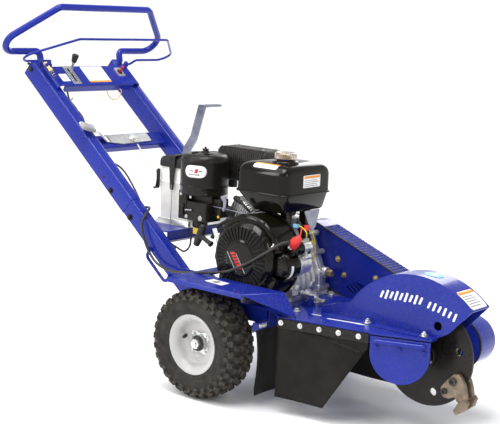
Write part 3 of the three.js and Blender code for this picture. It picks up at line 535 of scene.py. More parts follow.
LOOKS = {
    "blue": (enamel("blue_enamel", (0.007, 0.017, 0.23), (0.011, 0.024, 0.29), (0.05, 0.06, 0.20), 0.17, 0.1,
                    0.22),
             "blue_paint"),
    "gloss": (enamel("black_enamel", (0.003, 0.002, 0.001), (0.006, 0.005, 0.003), (0.02, 0.018, 0.015), 0.08,
                     0.1, 0.2),
              "black_gloss"),
    "satin": (enamel("black_satin_coat", (0.007, 0.006, 0.005), (0.012, 0.010, 0.008), (0.05, 0.045, 0.04),
                     0.3, 0.05, 0.2),
              "black_satin"),
    "plastic": (moulded("black_moulding", (0.010, 0.010, 0.011), (0.024, 0.023, 0.022)), "black_plastic"),
    "aluminium": (castings("cast_aluminium_skin", (0.42, 0.42, 0.41), (0.86, 0.86, 0.85), 0.38),
                  "cast_aluminium"),
    "iron": (castings("cast_iron_skin", (0.025, 0.024, 0.024), (0.07, 0.066, 0.062), 0.55, 0.6), "cast_iron"),
    "zinc": (machined("zinc_plating", (0.56, 0.57, 0.56), (0.80, 0.81, 0.79), 0.34, (1, 6, 1)), "zinc_plate"),
    "steel": (machined("turned_steel", (0.36, 0.36, 0.37), (0.60, 0.60, 0.61), 0.3), "bright_steel"),
    # Grey steel for the levers, bracket and linkage; its blue tint is a painted reflection.
    "steel_with_painted_reflection": (machined("lever_steel_with_painted_reflection", (0.17, 0.18, 0.23), (0.32, 0.33, 0.40), 0.34, (1, 1, 5)),
                   "bright_steel"),
    "tooth": (castings("worn_tooth_steel", (0.10, 0.075, 0.052), (0.30, 0.235, 0.175), 0.5, 0.7),
              "worn_steel"),
    "bright": (machined("bright_plating", (0.62, 0.62, 0.62), (0.82, 0.82, 0.82), 0.12), "bright_plate"),
    "cap": (tempered("heat_tinted_cap"), "bright_plate"),
    "rim": (enamel("rim_enamel", (0.40, 0.395, 0.38), (0.50, 0.49, 0.47), (0.28, 0.26, 0.24), 0.32, 0.2),
            "rim_paint"),
    "tyre": (treaded("tyre_rubber_skin"), "tyre_rubber"),
    "sheet": (sheeted("rubber_sheet_skin"), "rubber_sheet"),
    "case": (moulded("battery_case_plastic", (0.82, 0.80, 0.72), (0.93, 0.91, 0.85), 0.42, 500, 0.08),
             "battery_case"),
    "red": (moulded("red_moulding", (0.50, 0.02, 0.015), (0.70, 0.04, 0.03), 0.32, 500, 0.06), "red_plastic"),
    "grip": (moulded("grey_sleeve", (0.26, 0.26, 0.26), (0.40, 0.40, 0.39), 0.7, 400, 0.2), "black_plastic"),
    "brass": (machined("brass_fitting", (0.48, 0.36, 0.16), (0.70, 0.56, 0.28), 0.3), "bright_steel"),
    "white": (moulded("label_white", (0.78, 0.78, 0.77), (0.86, 0.86, 0.85), 0.4, 300, 0.03), "battery_case"),
    "orange": (moulded("label_orange", (0.74, 0.26, 0.03), (0.84, 0.34, 0.05), 0.4, 300, 0.03),
               "red_plastic"),
    "print": (moulded("label_print", (0.16, 0.16, 0.17), (0.30, 0.30, 0.31), 0.5, 300, 0.03),
              "black_plastic"),
    "pale_blue": (moulded("label_blue", (0.10, 0.34, 0.52), (0.16, 0.46, 0.62), 0.4, 300, 0.03),
                  "blue_paint"),
    "yellow": (moulded("yellow_sleeve", (0.62, 0.45, 0.03), (0.80, 0.62, 0.08), 0.4, 500, 0.08),
               "red_plastic"),
    "dark": (moulded("shadow_black", (0.004, 0.004, 0.004), (0.008, 0.008, 0.008), 0.8), "black_plastic"),
    "sheath": (moulded("cable_sheath", (0.022, 0.021, 0.019), (0.05, 0.047, 0.043), 0.45, 700, 0.1),
               "black_plastic"),
    "cord": (moulded("pale_cord", (0.55, 0.53, 0.45), (0.74, 0.72, 0.62), 0.8, 600, 0.3), "battery_case"),
}


# ---------- camera ----------
CAMERA_PLACE = (2.3274, -2.8995, 1.1264)  # metres
CAMERA_TURN = (39.7, 9.4, 2.5)  # azimuth, elevation and roll, in degrees
LENS = 89.68


def camera():
    """The photo's point of view, from the front right and a little above."""
    azimuth, elevation, roll = [math.radians(turn) for turn in CAMERA_TURN]
    back = Vector((
        math.sin(azimuth) * math.cos(elevation), -math.cos(azimuth) * math.cos(elevation),
        math.sin(elevation)))
    level = (-back).cross(Vector((0, 0, 1))).normalized()
    upright = level.cross(-back)
    right = level * math.cos(roll) + upright * math.sin(roll)
    up = upright * math.cos(roll) - level * math.sin(roll)
    made = bpy.data.objects.new("camera", bpy.data.cameras.new("camera"))
    made.matrix_world = Matrix.LocRotScale(CAMERA_PLACE, Matrix((right, up, back)).transposed(), None)
    made.data.lens = LENS
    made.data.sensor_width = 36
    made.data.clip_end = 60
    bpy.context.scene.collection.objects.link(made)
    bpy.context.scene.camera = made


def catmull(points, steps):
    """A smooth centripetal curve through given points."""
    p = [Vector(q) for q in points]
    p = [2 * p[0] - p[1], *p, 2 * p[-1] - p[-2]]
    made = []
    for i in range(1, len(p) - 2):
        a, b, c, d = p[i - 1:i + 3]
        t = [0.0]
        for m, n in ((a, b), (b, c), (c, d)):
            t.append(t[-1] + math.sqrt((n - m).length))
        for k in range(steps):
            x = t[1] + (t[2] - t[1]) * k / steps
            a1 = a.lerp(b, x / t[1])
            a2 = b.lerp(c, (x - t[1]) / (t[2] - t[1]))
            a3 = c.lerp(d, (x - t[2]) / (t[3] - t[2]))
            b1 = a1.lerp(a2, x / t[2])
            b2 = a2.lerp(a3, (x - t[1]) / (t[3] - t[1]))
            made.append(b1.lerp(b2, (x - t[1]) / (t[2] - t[1])))
    return made + [p[-2]]


def routed(name, points, radius, look, replaces=()):
    """A cable along a smooth route through points in millimetres."""
    path = catmull(points, 8)
    curve = bpy.data.curves.new(name, "CURVE")
    curve.dimensions = "3D"
    curve.bevel_depth = radius * MM
    curve.bevel_resolution = 3
    curve.use_fill_caps = True
    spline = curve.splines.new("POLY")
    spline.points.add(len(path) - 1)
    for point, q in zip(spline.points, path):
        point.co = (*(q * MM), 1)
    obj = bpy.data.objects.new(name, curve)
    bpy.context.scene.collection.objects.link(obj)
    finish(obj, look, "chassis", replaces)


def cables():
    """Both cables run down the right rail, and sag lower than their CAD tubes in front of it."""
    routed("throttle_cable_sheath", [
        on_rail(-284, -97, 8), on_rail(-262, -108, 0), on_rail(-200, -136, 6), on_rail(-120, -144, 16),
        on_rail(-60, -145, -22), on_rail(-10, -145, -26), on_rail(40, -144, -8), on_rail(110, -142, 24),
        on_rail(190, -143, 20), on_rail(262, -145, 4), (-336, -145, 404), (-288, -141, 394),
        (-254, -134, 380),
        (-232, -126, 371), (-216, -120, 388), (-212, -118, 441),
    ], 3, "sheath", "throttle_cable")
    routed("wiring_harness_sheath", [
        on_rail(-270, -150, 8), on_rail(-220, -153, 16), on_rail(-150, -153.5, 22), on_rail(-60, -154, -26),
        on_rail(0, -154, -26), on_rail(60, -154, -6), on_rail(160, -153.5, 2), on_rail(262, -154, 12),
        on_rail(284, -156, 32), on_rail(298, -170, 43), on_rail(310, -190, 44), on_rail(324, -208, 34),
        on_rail(338, -212, 12), (-306, -213, 381), (-266, -214, 342), (-200, -222, 329), (-130, -232, 337),
        (-40, -240, 352), (50, -244, 373), (120, -242, 407), (176, -232, 445), (212, -208, 474),
        (226, -190, 478), (228, -172, 466),
    ], 4, "sheath", "wiring_harness")


camera()
cables()


# ---------- handle ----------
def rails():
    top, splice, foot = RAIL_SPAN
    for side, sign in SIDES:
        y = sign * RAIL_Y
        upper = Shape(RAIL)
        box_tube(upper, top, splice, y, RAIL_SIZE, 4.5, 3)
        upper.rod((137, sign * 154, -4), (137, y, -4), 7)
        upper.piece("rail_upper_%s_tube" % side, "blue", replaces="rail_upper_" + side, bevel=0.6)
        lower = Shape(RAIL)
        box_tube(lower, splice - 12, foot, y, (RAIL_SIZE[0] - 3, RAIL_SIZE[1] - 3), 3.5, 20)
        outside = y + sign * (RAIL_SIZE[0] / 2 + 1.5)
        lower.tube(bent([(405, outside, -22), (405, outside, -50), (515, outside, -50), (515, outside, -22)],
                        16), 5)
        for s in (405, 515):
            lower.lathe([(9, 0), (8, 3), (5, 7)], along((0, 0, -1), (s, outside - sign * 1.5, -20)), 20)
        lower.piece("rail_lower_%s_tube" % side, "blue", replaces="rail_lower_" + side, bevel=0.6)
        fixings = Shape(RAIL)
        outer = y + sign * RAIL_SIZE[0] / 2
        for s, n in ((162, -17), (276, -17)):
            fixings.bolt((s, outer, n), (0, sign, 0), 11, 5)
        fixings.piece("rail_bolts_" + side, "satin", bevel=0.3)
        plug = Shape(RAIL)
        plug.lathe([(9, 0), (9, 4), (7, 7), (4, 8.4), (0, 8.8)], along((0, sign, 0), (-367, outer, 4)), 28)
        plug.lathe([(4, 0), (4, 6), (3, 7)], along((0, sign, 0), (-384, outer, 12)), 18)
        plug.lathe([(4.6, 0), (4.6, 0.4)], along((0, sign, 0), (111, outer, -9)), 18)
        plug.piece("rail_plug_" + side, "plastic")


def box_tube(shape, start, end, y, size, radius, depth):
    """A hollow rectangular tube along the rails."""
    wall = 3
    outer = rounded_rect(*size, radius)
    inner = rounded_rect(size[0] - 2 * wall, size[1] - 2 * wall, 1.5)
    stations = [(inner, start + depth), (inner, start), (outer, start), (outer, end), (inner, end),
                (inner, end - depth)]
    shape.loft([[(s, y + u, v) for u, v in loop] for loop, s in stations])


def cross_member():
    width = RAIL_Y - RAIL_SIZE[0] / 2 - 0.3
    shape = Shape(RAIL)
    shape.sheet([
        [(-52, -width, 4), (2, -width, 4), (2, width, 4), (-52, width, 4)],
        [(2, -width, 4), (2, -width, -18), (2, width, -18), (2, width, 4)],
    ])
    shape.piece("cross_member_angle", "blue", replaces="cross_member", thickness=4, fold=4, bevel=0.5,
                limit=60)
    pivot = Shape(RAIL)
    pivot.rod((-26, 20, 3), (-26, 20, 12), 6)
    pivot.bolt((-26, 20, 9.9), (0, 0, 1), 19, 6)
    pivot.piece("lock_lever_bolt", "zinc", bevel=0.3)


def console():
    y, s0, s1, n = 185, -336, -242, PANEL_N
    inner = 158
    panel = Shape(RAIL)
    panel.sheet([
        [(s0, -y, n), (s1, -y, n), (s1, -inner, n), (s1, inner, n), (s1, y, n), (s0, y, n), (s0, inner, n),
         (s0, -inner, n)],
        [(s1, -inner, n), (s1, -inner + 4, 26), (s1, -inner + 14, 18), (s1, inner - 14, 18),
         (s1, inner - 4, 26),
         (s1, inner, n)],
        [(s0, inner, n), (s0, inner - 6, 26), (s0, -inner + 6, 26), (s0, -inner, n)],
        [(s0, -y, n), (s0, -y, 31.5), (s1, -y, 31.5), (s1, -y, n)],
        [(s1, y, n), (s1, y, 31.5), (s0, y, 31.5), (s0, y, n)],
    ])
    panel.piece("console_sheet", "blue", replaces="console_panel", thickness=3, fold=4, bevel=0.4, limit=60)
    lugs = Shape(RAIL)
    ear = rounded([(-339.5, n - 1), (-319.5, n - 1), (-319.5, n + 20.4), (-339.5, n + 20.4)], 7)
    for k in (-1, 1):
        lugs.plate(ear, [circle((-329.5, 56.4), 4.5, 20)], *sorted((k * 172, k * 177)))
    lugs.piece("bail_lugs", "blue", bevel=0.5)
    plates = Shape(RAIL)
    plates.plate(rounded_pair(-334, -250, -112, -78, 3), [rounded_pair(-324, -260, -99.5, -90.5, 4)],
                 n - 0.5, n + 1.5, "xy")
    plates.plate(rounded_pair(-320, -280, 113, 143, 3), [rounded_pair(-312, -288, 122, 134, 4)], n - 0.5,
                 n + 4, "xy")
    plates.piece("console_plates", "zinc", bevel=0.3)
    marks = Shape(RAIL)
    for i in range(9):
        s = -320 + i * 7.5
        marks.box((s, -88, n + 1.3), (s + 2.5, -82 + (i % 3), n + 1.75))
        marks.box((s, -108, n + 1.3), (s + 3.2, -103, n + 1.75))
    marks.box((-323, -99, n - 0.4), (-261, -91, n + 0.3))
    marks.piece("slot_shadow_and_scale", "dark", bevel=0.1)
    label("console_label", RAIL, (-331, -36), (-256, 62), n, 9, strip="high")
    label("console_note", RAIL, (-298, -152), (-264, -118), n, 4)
    bracket = Shape(RAIL)
    bracket.rod((-344, -178, 53), (-306, -178, 50), 7, end_radius=7)
    bracket.rod((-352, -178, 53.6), (-344, -178, 53), 3.2)
    bracket.piece("bail_switch_body", "brass", bevel=0.3)
    spring = Shape(RAIL)
    turns = 9
    helix = [(-304 + k * 1.1, -178 + 5 * math.cos(k * 0.785),
              50 + 5 * math.sin(k * 0.785)) for k in range(turns * 2)]
    spring.tube(helix, 1.1, 8)
    spring.piece("bail_switch_spring", "steel")


def rounded_pair(u0, u1, v0, v1, radius):
    """A rectangle with round corners between two values each way."""
    return rounded([(u0, v0), (u1, v0), (u1, v1), (u0, v1)], radius)


def label(name, at, low, high, level, lines, strip=None, plane="xy"):
    """A blank label with plain grey lines on a flat face, and an orange strip at its low or high end."""
    (u0, v0), (u1, v1) = low, high
    base = Shape(at)
    base.prism(rounded_pair(u0, u1, v0, v1, 2), level, level + 0.3, plane)
    base.piece(name, "white")
    inside = (u0 + 4, u1 - 4)
    if strip:
        edge = (u1 - 8, u1) if strip == "high" else (u0, u0 + 8)
        band = Shape(at)
        band.prism(rounded_pair(*edge, v0, v1, 1.2), level + 0.2, level + 0.5, plane)
        band.piece(name + "_strip", "orange")
        inside = (u0 + 4, u1 - 11) if strip == "high" else (u0 + 11, u1 - 4)
    text = Shape(at)
    rng = random.Random(len(name))
    for i in range(lines):
        u = inside[0] + (inside[1] - inside[0]) * (i + 0.5) / lines
        end = v1 - 5 - rng.random() * (v1 - v0) * 0.25
        text.prism(rounded_pair(u - 0.55, u + 0.55, v0 + 5, end, 0.4), level + 0.2, level + 0.42, plane)
    text.piece(name + "_lines", "print")


def handlebar():
    s, foot, low, high, top, wide = -391, -364, 61, 253, 202, 401
    bar = Shape(RAIL)
    near, far = [[(foot, sign * RAIL_Y, 24), (foot, sign * RAIL_Y, 40), (s, sign * RAIL_Y, low),
                  (s, sign * wide, low),
                  (s, sign * top, high)] for sign in (-1, 1)]
    bar.tube(bent(near + far[::-1], [10, 20, 43, 30, 30, 43, 20, 10], 10), 11, 24)
    bar.piece("handlebar_tube", "blue", replaces="handlebar")
    welds = Shape(RAIL)
    for _, sign in SIDES:
        welds.lathe([(17, 30.6), (15.5, 33), (12.5, 35.5), (10.9, 37)],
                    Matrix.Translation((foot, sign * RAIL_Y, 0)), 28)
    welds.piece("handlebar_welds", "blue")


def bail():
    frame_at = (RAIL @ Matrix.Translation((-329.5, 0, 56.4))
                @ Matrix.Rotation(-(RAIL_TILT + math.radians(28.3)), 4, "Y"))
    rod = Shape(frame_at)
    corners = [(0, -168, 0), (0, -192, 0), (34, -192, 0), (34, -378, 0), (196, -200, 0), (196, 200, 0),
               (34, 378, 0),
               (34, 192, 0), (0, 192, 0), (0, 168, 0)]
    rod.tube(bent(corners, [9, 9, 34, 22, 22, 34, 9, 9], 8), 4, 14)
    rod.piece("presence_bail_rod", "blue", "bail", "presence_bail")


def levers():
    throttle_at = (RAIL @ Matrix.Translation((-292, -95, 20)) @ Matrix.Rotation(-math.radians(19), 4, "Y"))
    arm = Shape(throttle_at)
    arm.prism(rounded_rect(12, 12, 5), -1.5, 1.5)
    arm.box((-5, -1.5, 0), (5, 1.5, 66))
    arm.lathe([(9, -3), (9, 3)], along((0, 1, 0), (0, 0, 0)), 24)
    arm.rod((0, 0, 60), (0, 0, 72), 3.5)
    arm.piece("throttle_arm", "steel", "throttle", "throttle_lever", bevel=0.5)
    knob = Shape(throttle_at)
    knob.lathe([(4.5, 66), (7, 67), (8.6, 70), (9.6, 78), (11.2, 88), (11.4, 91), (10.2, 94), (6, 95),
                (0, 95.2)],
               Matrix.Identity(4), 36)
    knob.piece("throttle_knob", "plastic", "throttle")
    paddle = Shape(RAIL)
    at = Matrix.Translation((-300, 128, PANEL_N + 7))
    paddle.lathe([(0, -2), (4.5, -1), (5, 2), (3.4, 6), (4.2, 12), (5, 18), (4.2, 21), (0, 22)], at, 24)
    paddle.piece("stop_switch_toggle", "red", "switch_paddle", "stop_switch")
    collar = Shape(RAIL)
    collar.lathe([(10, -4), (10, 0), (8.5, 1.6), (6.2, 1.8), (6, -3)],
                 Matrix.Translation((-300, 128, PANEL_N + 4)), 28)
    collar.piece("stop_switch_collar", "plastic")
    lock = Shape(RAIL)
    lock.plate(rounded([(-46, 95), (-46, -92), (-16, -92), (-6, -40), (-10, 95)], 7),
               [circle((-26, 20), 6.5, 24)],
               4.5, 9.5, "xy")
    arm_path = bent([(-30, -84, 7), (-30, -100, 7), (-46, -150, 40.5), (-54, -222, 58.5)], [14, 16], 6)
    lock.strip(arm_path, (1, 0, 0), 26, 5)
    lock.piece("lock_lever_plate", "zinc", "lock", "lock_lever", bevel=0.7)
    sleeve = Shape(RAIL)
    grip_at = along(Vector((-8, -72, 18)), (-47.5, -163, 43.7))
    loops = [(11.5, 0, 26), (13.5, 2.5, 30), (14, 30, 31), (13.2, 58, 30), (9, 62, 24)]
    turned_grip = grip_at @ Matrix.Rotation(math.radians(grip_roll(grip_at)), 4, "Z")
    sleeve.loft([[(u, v, h) for u, v in rounded_rect(w, t, t / 2.2)] for t, h, w in loops], turned_grip)
    sleeve.piece("lock_lever_sleeve", "grip", "lock", bevel=0.4)
    pivot = on_rail(137, 0, -4)
    tall = Shape(Matrix.Translation(pivot))
    tall.plate(rounded([(-14, -12), (14, -12), (22, 76), (50, 118), (86, 236), (56, 238), (24, 132),
                        (-8, 86)], 5),
               [circle((0, 0), 6.5, 24)], 146, 154)
    tall.strip(bent([(70, 149, 222), (71, 150, 233.5), (71, 229, 233.5)], 8), (1, 0, 0), 27, 7)
    tall.piece("tension_lever_bar", "steel_with_painted_reflection", "tensioner", "tension_lever", bevel=0.8)
    nut = Shape(RAIL)
    nut.bolt((137, 145.6, -4), (0, -1, 0), 19, 6)
    nut.rod((137, 150, -4), (137, 139, -4), 6)
    nut.piece("tension_lever_bolt", "zinc", bevel=0.3)


def grip_roll(at):
    """The turn about its own axis that lays the sleeve flat with the lever."""
    wanted = Vector((1, 0, 0))
    local = at.to_3x3().inverted() @ wanted
    return math.degrees(math.atan2(local.y, local.x))


rails()
cross_member()
console()
handlebar()
bail()
levers()


# ---------- wheels ----------
def wheel(side, sign):
    body = "wheel_" + side
    at = along((0, sign, 0), (0, sign * WHEEL_Y, AXLE_Z))
    rim = Shape()
    profile = [
        (13, -50), (20, -50), (22, -48), (22, 5), (30, 7), (50, 13), (56, 13), (62, 8), (64, 2), (64, -30),
        (68, -38),
        (76, -45), (86, -49.5), (88, -50), (88, -47), (80, -44), (74, -38), (68, -26), (68, 26), (74, 38),
        (80, 44),
        (88, 47), (88.4, 49), (87, 50.4), (84, 50), (77, 46.5), (71, 42), (66, 34), (63.5, 26), (60, 20.5),
        (55, 18),
        (48, 17.5), (42, 15.5), (36, 12), (30, 10.5), (22, 10), (22, 20), (20.5, 22), (13, 22),
    ]
    rim.lathe(profile, at, 72, closed=True)
    rim.piece("rim_%s_dish" % side, "rim", body, "rim_" + side, smooth=50)
    studs = Shape()
    lobes = [(math.degrees(t), 36 + 7 * math.cos(4 * t)) for t in (2 * math.pi * k / 96 for k in range(96))]
    ears = [(r * math.cos(math.radians(a + 45)), r * math.sin(math.radians(a + 45))) for a, r in lobes]
    studs.loft([[(x * k, y * k, h) for x, y in ears] for h, k in ((10.2, 0.97), (13.4, 0.97), (14.2, 0.94))],
               at)
    for k in range(4):
        a = math.radians(45 + 90 * k)
        place = at @ Matrix.Translation((34 * math.cos(a), 34 * math.sin(a), 14))
        studs.bolt((0, 0, 0), (0, 0, 1), 9, 4, at=place)
    studs.piece("rim_%s_bolts" % side, "zinc", body, bevel=0.3)
    valve = Shape()
    valve_at = at @ Matrix.Translation((-52, 12, 17)) @ Matrix.Rotation(math.radians(24), 4, "Y")
    valve.lathe([(7, -4), (6.4, 0), (4.6, 3), (4.2, 12), (4.8, 12.5), (4.8, 20), (4, 21.5), (0, 21.8)],
                valve_at, 20)
    valve.piece("rim_%s_valve" % side, "plastic", body)
    tyre(side, at, body)


def tyre(side, at, body):
    carcass = Shape()
    half = [(76.4, 30), (77, 40), (84, 45.2), (89, 47.2), (91, 50), (94, 51), (98, 52.6), (100, 52.2),
            (102, 53.8),
            (112, 55.3), (122, 55.4), (130, 54), (133, 54.2), (135, 52.6), (142, 49.2), (147, 44), (150, 36),
            (151.4, 20),
            (151.8, 0)]
    profile = half + [(r, -y) for r, y in half[-2::-1]]
    carcass.lathe(profile, at, 96, closed=True)
    carcass.piece("tyre_%s_carcass" % side, "tyre", body, "tyre_" + side, smooth=60)
    knobs = Shape()
    count = 30
    step = math.pi / count
    for i in range(count):
        turn = 2 * step * i
        odd = i % 2
        for hand in (-1, 1):
            lug(knobs, at, turn + (step if hand > 0 else 0), hand * 10.5, 15, 19, 150.8, hand * 26)
            lug(knobs, at, turn + step, hand * (29 - 2 * odd), 15, 17, 149.6, hand * -18, lean=hand * 8)
            lug(knobs, at, turn, hand * 44.5, 16, 18, 143.6, hand * 6, lean=hand * 36)
            lug(knobs, at, turn + step, hand * 51.5, 14 + 4 * odd, 14, 135.5, 0, lean=hand * 64, height=6)
    knobs.piece("tyre_%s_knobs" % side, "tyre", body, bevel=0.5, segments=1, smooth=25)


def lug(shape, at, turn, across, width, length, floor, skew, lean=0, height=9):
    """One tread knob: a tapered block standing out of the carcass."""
    place = (at @ Matrix.Rotation(turn, 4, "Z") @ Matrix.Translation((floor, 0, across))
             @ Matrix.Rotation(-math.radians(lean), 4, "Y") @ Matrix.Rotation(math.radians(skew), 4, "X"))
    rings = []
    for x, shrink in ((-3, 1.06), (height - 1.2, 0.92), (height, 0.86)):
        u, v = length / 2 * shrink, width / 2 * shrink
        rings.append([(x, -u, -v), (x, u, -v), (x, u, v), (x, -u, v)])
    shape.loft(rings, place)


def axle():
    bar = Shape()
    bar.rod((0, -WHEEL_Y - 44, AXLE_Z), (0, WHEEL_Y + 44, AXLE_Z), 9, 32)
    bar.rod((0, -WHEEL_Y - 24, AXLE_Z), (0, WHEEL_Y + 24, AXLE_Z), 12.5, 32)
    washers = Shape()
    for _, sign in SIDES:
        face = sign * (WHEEL_Y + 22.5)
        washers.lathe([(12, 0), (23, 0), (23.6, 1), (23, 3), (12, 3)], along((0, sign, 0), (0, face, AXLE_Z)),
                      36, True)
        bar.bolt((0, face + sign * 3, AXLE_Z), (0, sign, 0), 27, 13, washer=False)
    washers.piece("axle_washers", "iron", bevel=0.3)
    bar.piece("axle_and_nuts", "zinc", replaces="axle", bevel=0.6)


for wheel_side, wheel_sign in SIDES:
    wheel(wheel_side, wheel_sign)
axle()


# ---------- chassis ----------
def edge_frame(i):
    """The frame of one run of the deck's right edge, X along it and Y inboard, and its length."""
    a, b = DECK_EDGE[i], DECK_EDGE[i + 1]
    turn = math.atan2(b.y - a.y, b.x - a.x)
    return Matrix.Translation(a) @ Matrix.Rotation(turn, 4, "Z"), (b - a).length


def capsule(a, b, radius, steps=8):
    """The outline of a slot between two points."""
    turn = math.degrees(math.atan2(b[1] - a[1], b[0] - a[0]))
    return arc(b, radius, turn - 90, turn + 90, steps) + arc(a, radius, turn + 90, turn + 270, steps)


def deck():
    y0, y1 = HOUSING_Y
    shape = Shape()
    outline = [(-95, -204), (185, -204), (246, -250), (518, -194), (673, -136), (673, y0 + 2), (345, y0 + 2),
               (345, y1 - 2), (640, y1 - 2), (640, 90), (203, 90), (203, 248), (185, 204), (-95, 204)]
    drains = [circle((x, 36), 8, 20) for x in (330, 430, 530)]
    shape.plate(outline, drains, DECK_TOP - 5, DECK_TOP, "xy")
    at, length = edge_frame(0)
    shape.box((0, 0, 250), (length, 3, DECK_TOP - 4), at)
    for y, front in ((-127, 664), (66, 638)):
        hanger = rounded([(570, 274), (570, 227), (600, 175), (636, 175), (front, 227), (front, 274)], 8)
        shape.plate(hanger, [circle((CUTTER.x, CUTTER.z), 13.5)], y - 3, y + 3)
    bar = rounded([(-272, 225), (84, 225), (84, 274), (-203, 274), (-203, 250), (-272, 250)], 3)
    shape.prism(bar, 173, 177, "yz")
    shape.box((176, -272, 247), (191, -203, 250))
    shape.piece("deck_plate", "blue", replaces="deck", bevel=0.9)
    fixings = Shape()
    for y in (-240, -225, -120, 20, 70):
        fixings.bolt((177, y, 238), (1, 0, 0), 10, 5)
    for x, y in ((145, -80), (145, 78), (-12, -80), (-12, 78)):
        fixings.bolt((x, y, 292), (0, 0, 1), 13, 7)
    fixings.bolt((241, -160, DECK_TOP), (0, 0, 1), 13, 7)
    fixings.bolt((178, 88, DECK_TOP), (0, 0, 1), 13, 7)
    fixings.piece("deck_bolts", "zinc", bevel=0.3)
    post = Shape()
    post.prism(rounded([(-97, DECK_TOP - 1), (-79, DECK_TOP - 1), (-79, 311), (-97, 311)], 4), 234, 240, "yz")
    post.prism([(200, DECK_TOP), (234.5, DECK_TOP), (234.5, 304)], -90, -86, "xz")
    post.piece("tension_post", "blue", bevel=0.8)
    adjuster = Shape()
    adjuster.rod((176, -30, 298), (262, -66, 295), 5)
    adjuster.bolt((262, -66, 295), (0.92, -0.385, -0.03), 15, 8, washer=False)
    adjuster.bolt((214, -46, 296.6), (0.92, -0.385, -0.03), 17, 7)
    adjuster.bolt((182, -32.5, 297.8), (0.92, -0.385, -0.03), 17, 7)
    adjuster.prism(rounded_pair(204, 246, -72, -30, 3), DECK_TOP, 288, "xy")
    adjuster.piece("tension_adjuster", "zinc", bevel=0.5)
    marks = Shape()
    marks.prism(capsule((292, -153), (318, -150), 2.4), DECK_TOP, DECK_TOP + 0.3, "xy")
    arrow = [(350, -164), (440, -144), (438, -149), (474, -135), (438, -131), (440, -136), (350, -157)]
    marks.prism(arrow, DECK_TOP, DECK_TOP + 0.3, "xy")
    marks.piece("deck_marks", "white")


def members():
    for side, sign in SIDES:
        y = sign * RAIL_Y
        shape = Shape()
        outer, inner = rounded_rect(40, 44, 4), rounded_rect(32, 36, 1.5)
        stations = [(inner, -60), (inner, -90), (outer, -90), (outer, 165), (inner, 165), (inner, 135)]
        shape.loft([[(x, y + u, 250.7 + v) for u, v in loop] for loop, x in stations])
        hang = [(-196, 313), (-178, 341), (-28, 341), (-28, 290), (70, 290), (70, 195), (32, 135), (-32, 135),
                (-70, 195), (-120, 227)]
        plate_y = sorted((sign * 204.4, sign * 209))
        shape.plate(rounded(hang, 9), [circle((0, AXLE_Z), 13.2), capsule((-130, 280), (-90, 280), 9)],
                    *plate_y)
        shape.box((-60, min(sign * 199, sign * 205), 235), (60, max(sign * 199, sign * 205), 248))
        collar = along((0, sign, 0), (0, sign * 209, AXLE_Z))
        shape.lathe([(13, -1), (23, -1), (23, 9), (21.5, 10.5), (13, 10.5)], collar, 36, closed=True)
        shape.piece("side_member_%s_tube" % side, "blue", replaces="side_member_" + side, bevel=0.7)
        bolts = Shape()
        for x, z in ((-150, 318), (-60, 318), (44, 262)):
            bolts.bolt((x, sign * 209, z), (0, sign, 0), 13, 7)
        bolts.piece("bracket_bolts_" + side, "zinc", bevel=0.3)


def fenders():
    for side, sign in SIDES:
        foot = (292, 226, 279) if sign < 0 else (200, 226, 279)
        top, low, out = SHELF_TOP, SHELF_TOP - 14, 345
        faces = [
            [(-95, out, top), (-95, 0.3, top), (-36, 0.3, top), (-36, 232, top), (252, 232, top),
             (190, out, top)],
            [(-95, out, low), (-95, out, top), (190, out, top), (190, out, low)],
            [(190, out, top), (252, 232, top), foot],
        ]
        turned = [[(x, sign * y, z) for x, y, z in face] for face in faces]
        if sign < 0:
            turned = [face[::-1] for face in turned]
        shape = Shape()
        shape.sheet(turned)
        shape.piece("fender_%s_sheet" % side, "blue", replaces="fender_" + side, thickness=3, fold=3,
                    bevel=0.4,
                    limit=60)
    tag = Shape()
    quad = [(8, -297), (14, -262), (80, -269), (80, -306)]
    tag.prism(rounded(quad, 2), SHELF_TOP, SHELF_TOP + 0.3, "xy")
    tag.piece("fender_label", "white")
    ink = Shape()
    ink.prism([(30, -290), (38, -270), (56, -274), (50, -298)], SHELF_TOP + 0.2, SHELF_TOP + 0.5, "xy")
    ink.piece("fender_label_ink", "print")
    shelf = Shape()
    shelf.sheet([
        [(-424, -159.6, 431), (-271, -159.6, 431), (-271, 159.6, 431), (-424, 159.6, 431)],
        [(-271, -159.6, 431), (-271, -159.6, 399), (-271, 159.6, 399), (-271, 159.6, 431)],
    ])
    shelf.piece("battery_shelf_sheet", "blue", replaces="battery_shelf", thickness=4, fold=4, bevel=0.5,
                limit=60)
    rail = Shape()
    rail.box((-275, -156, 395), (-270.5, 60, 400.5))
    rail.piece("shelf_edge_strip", "zinc", bevel=0.6)


deck()
members()
fenders()


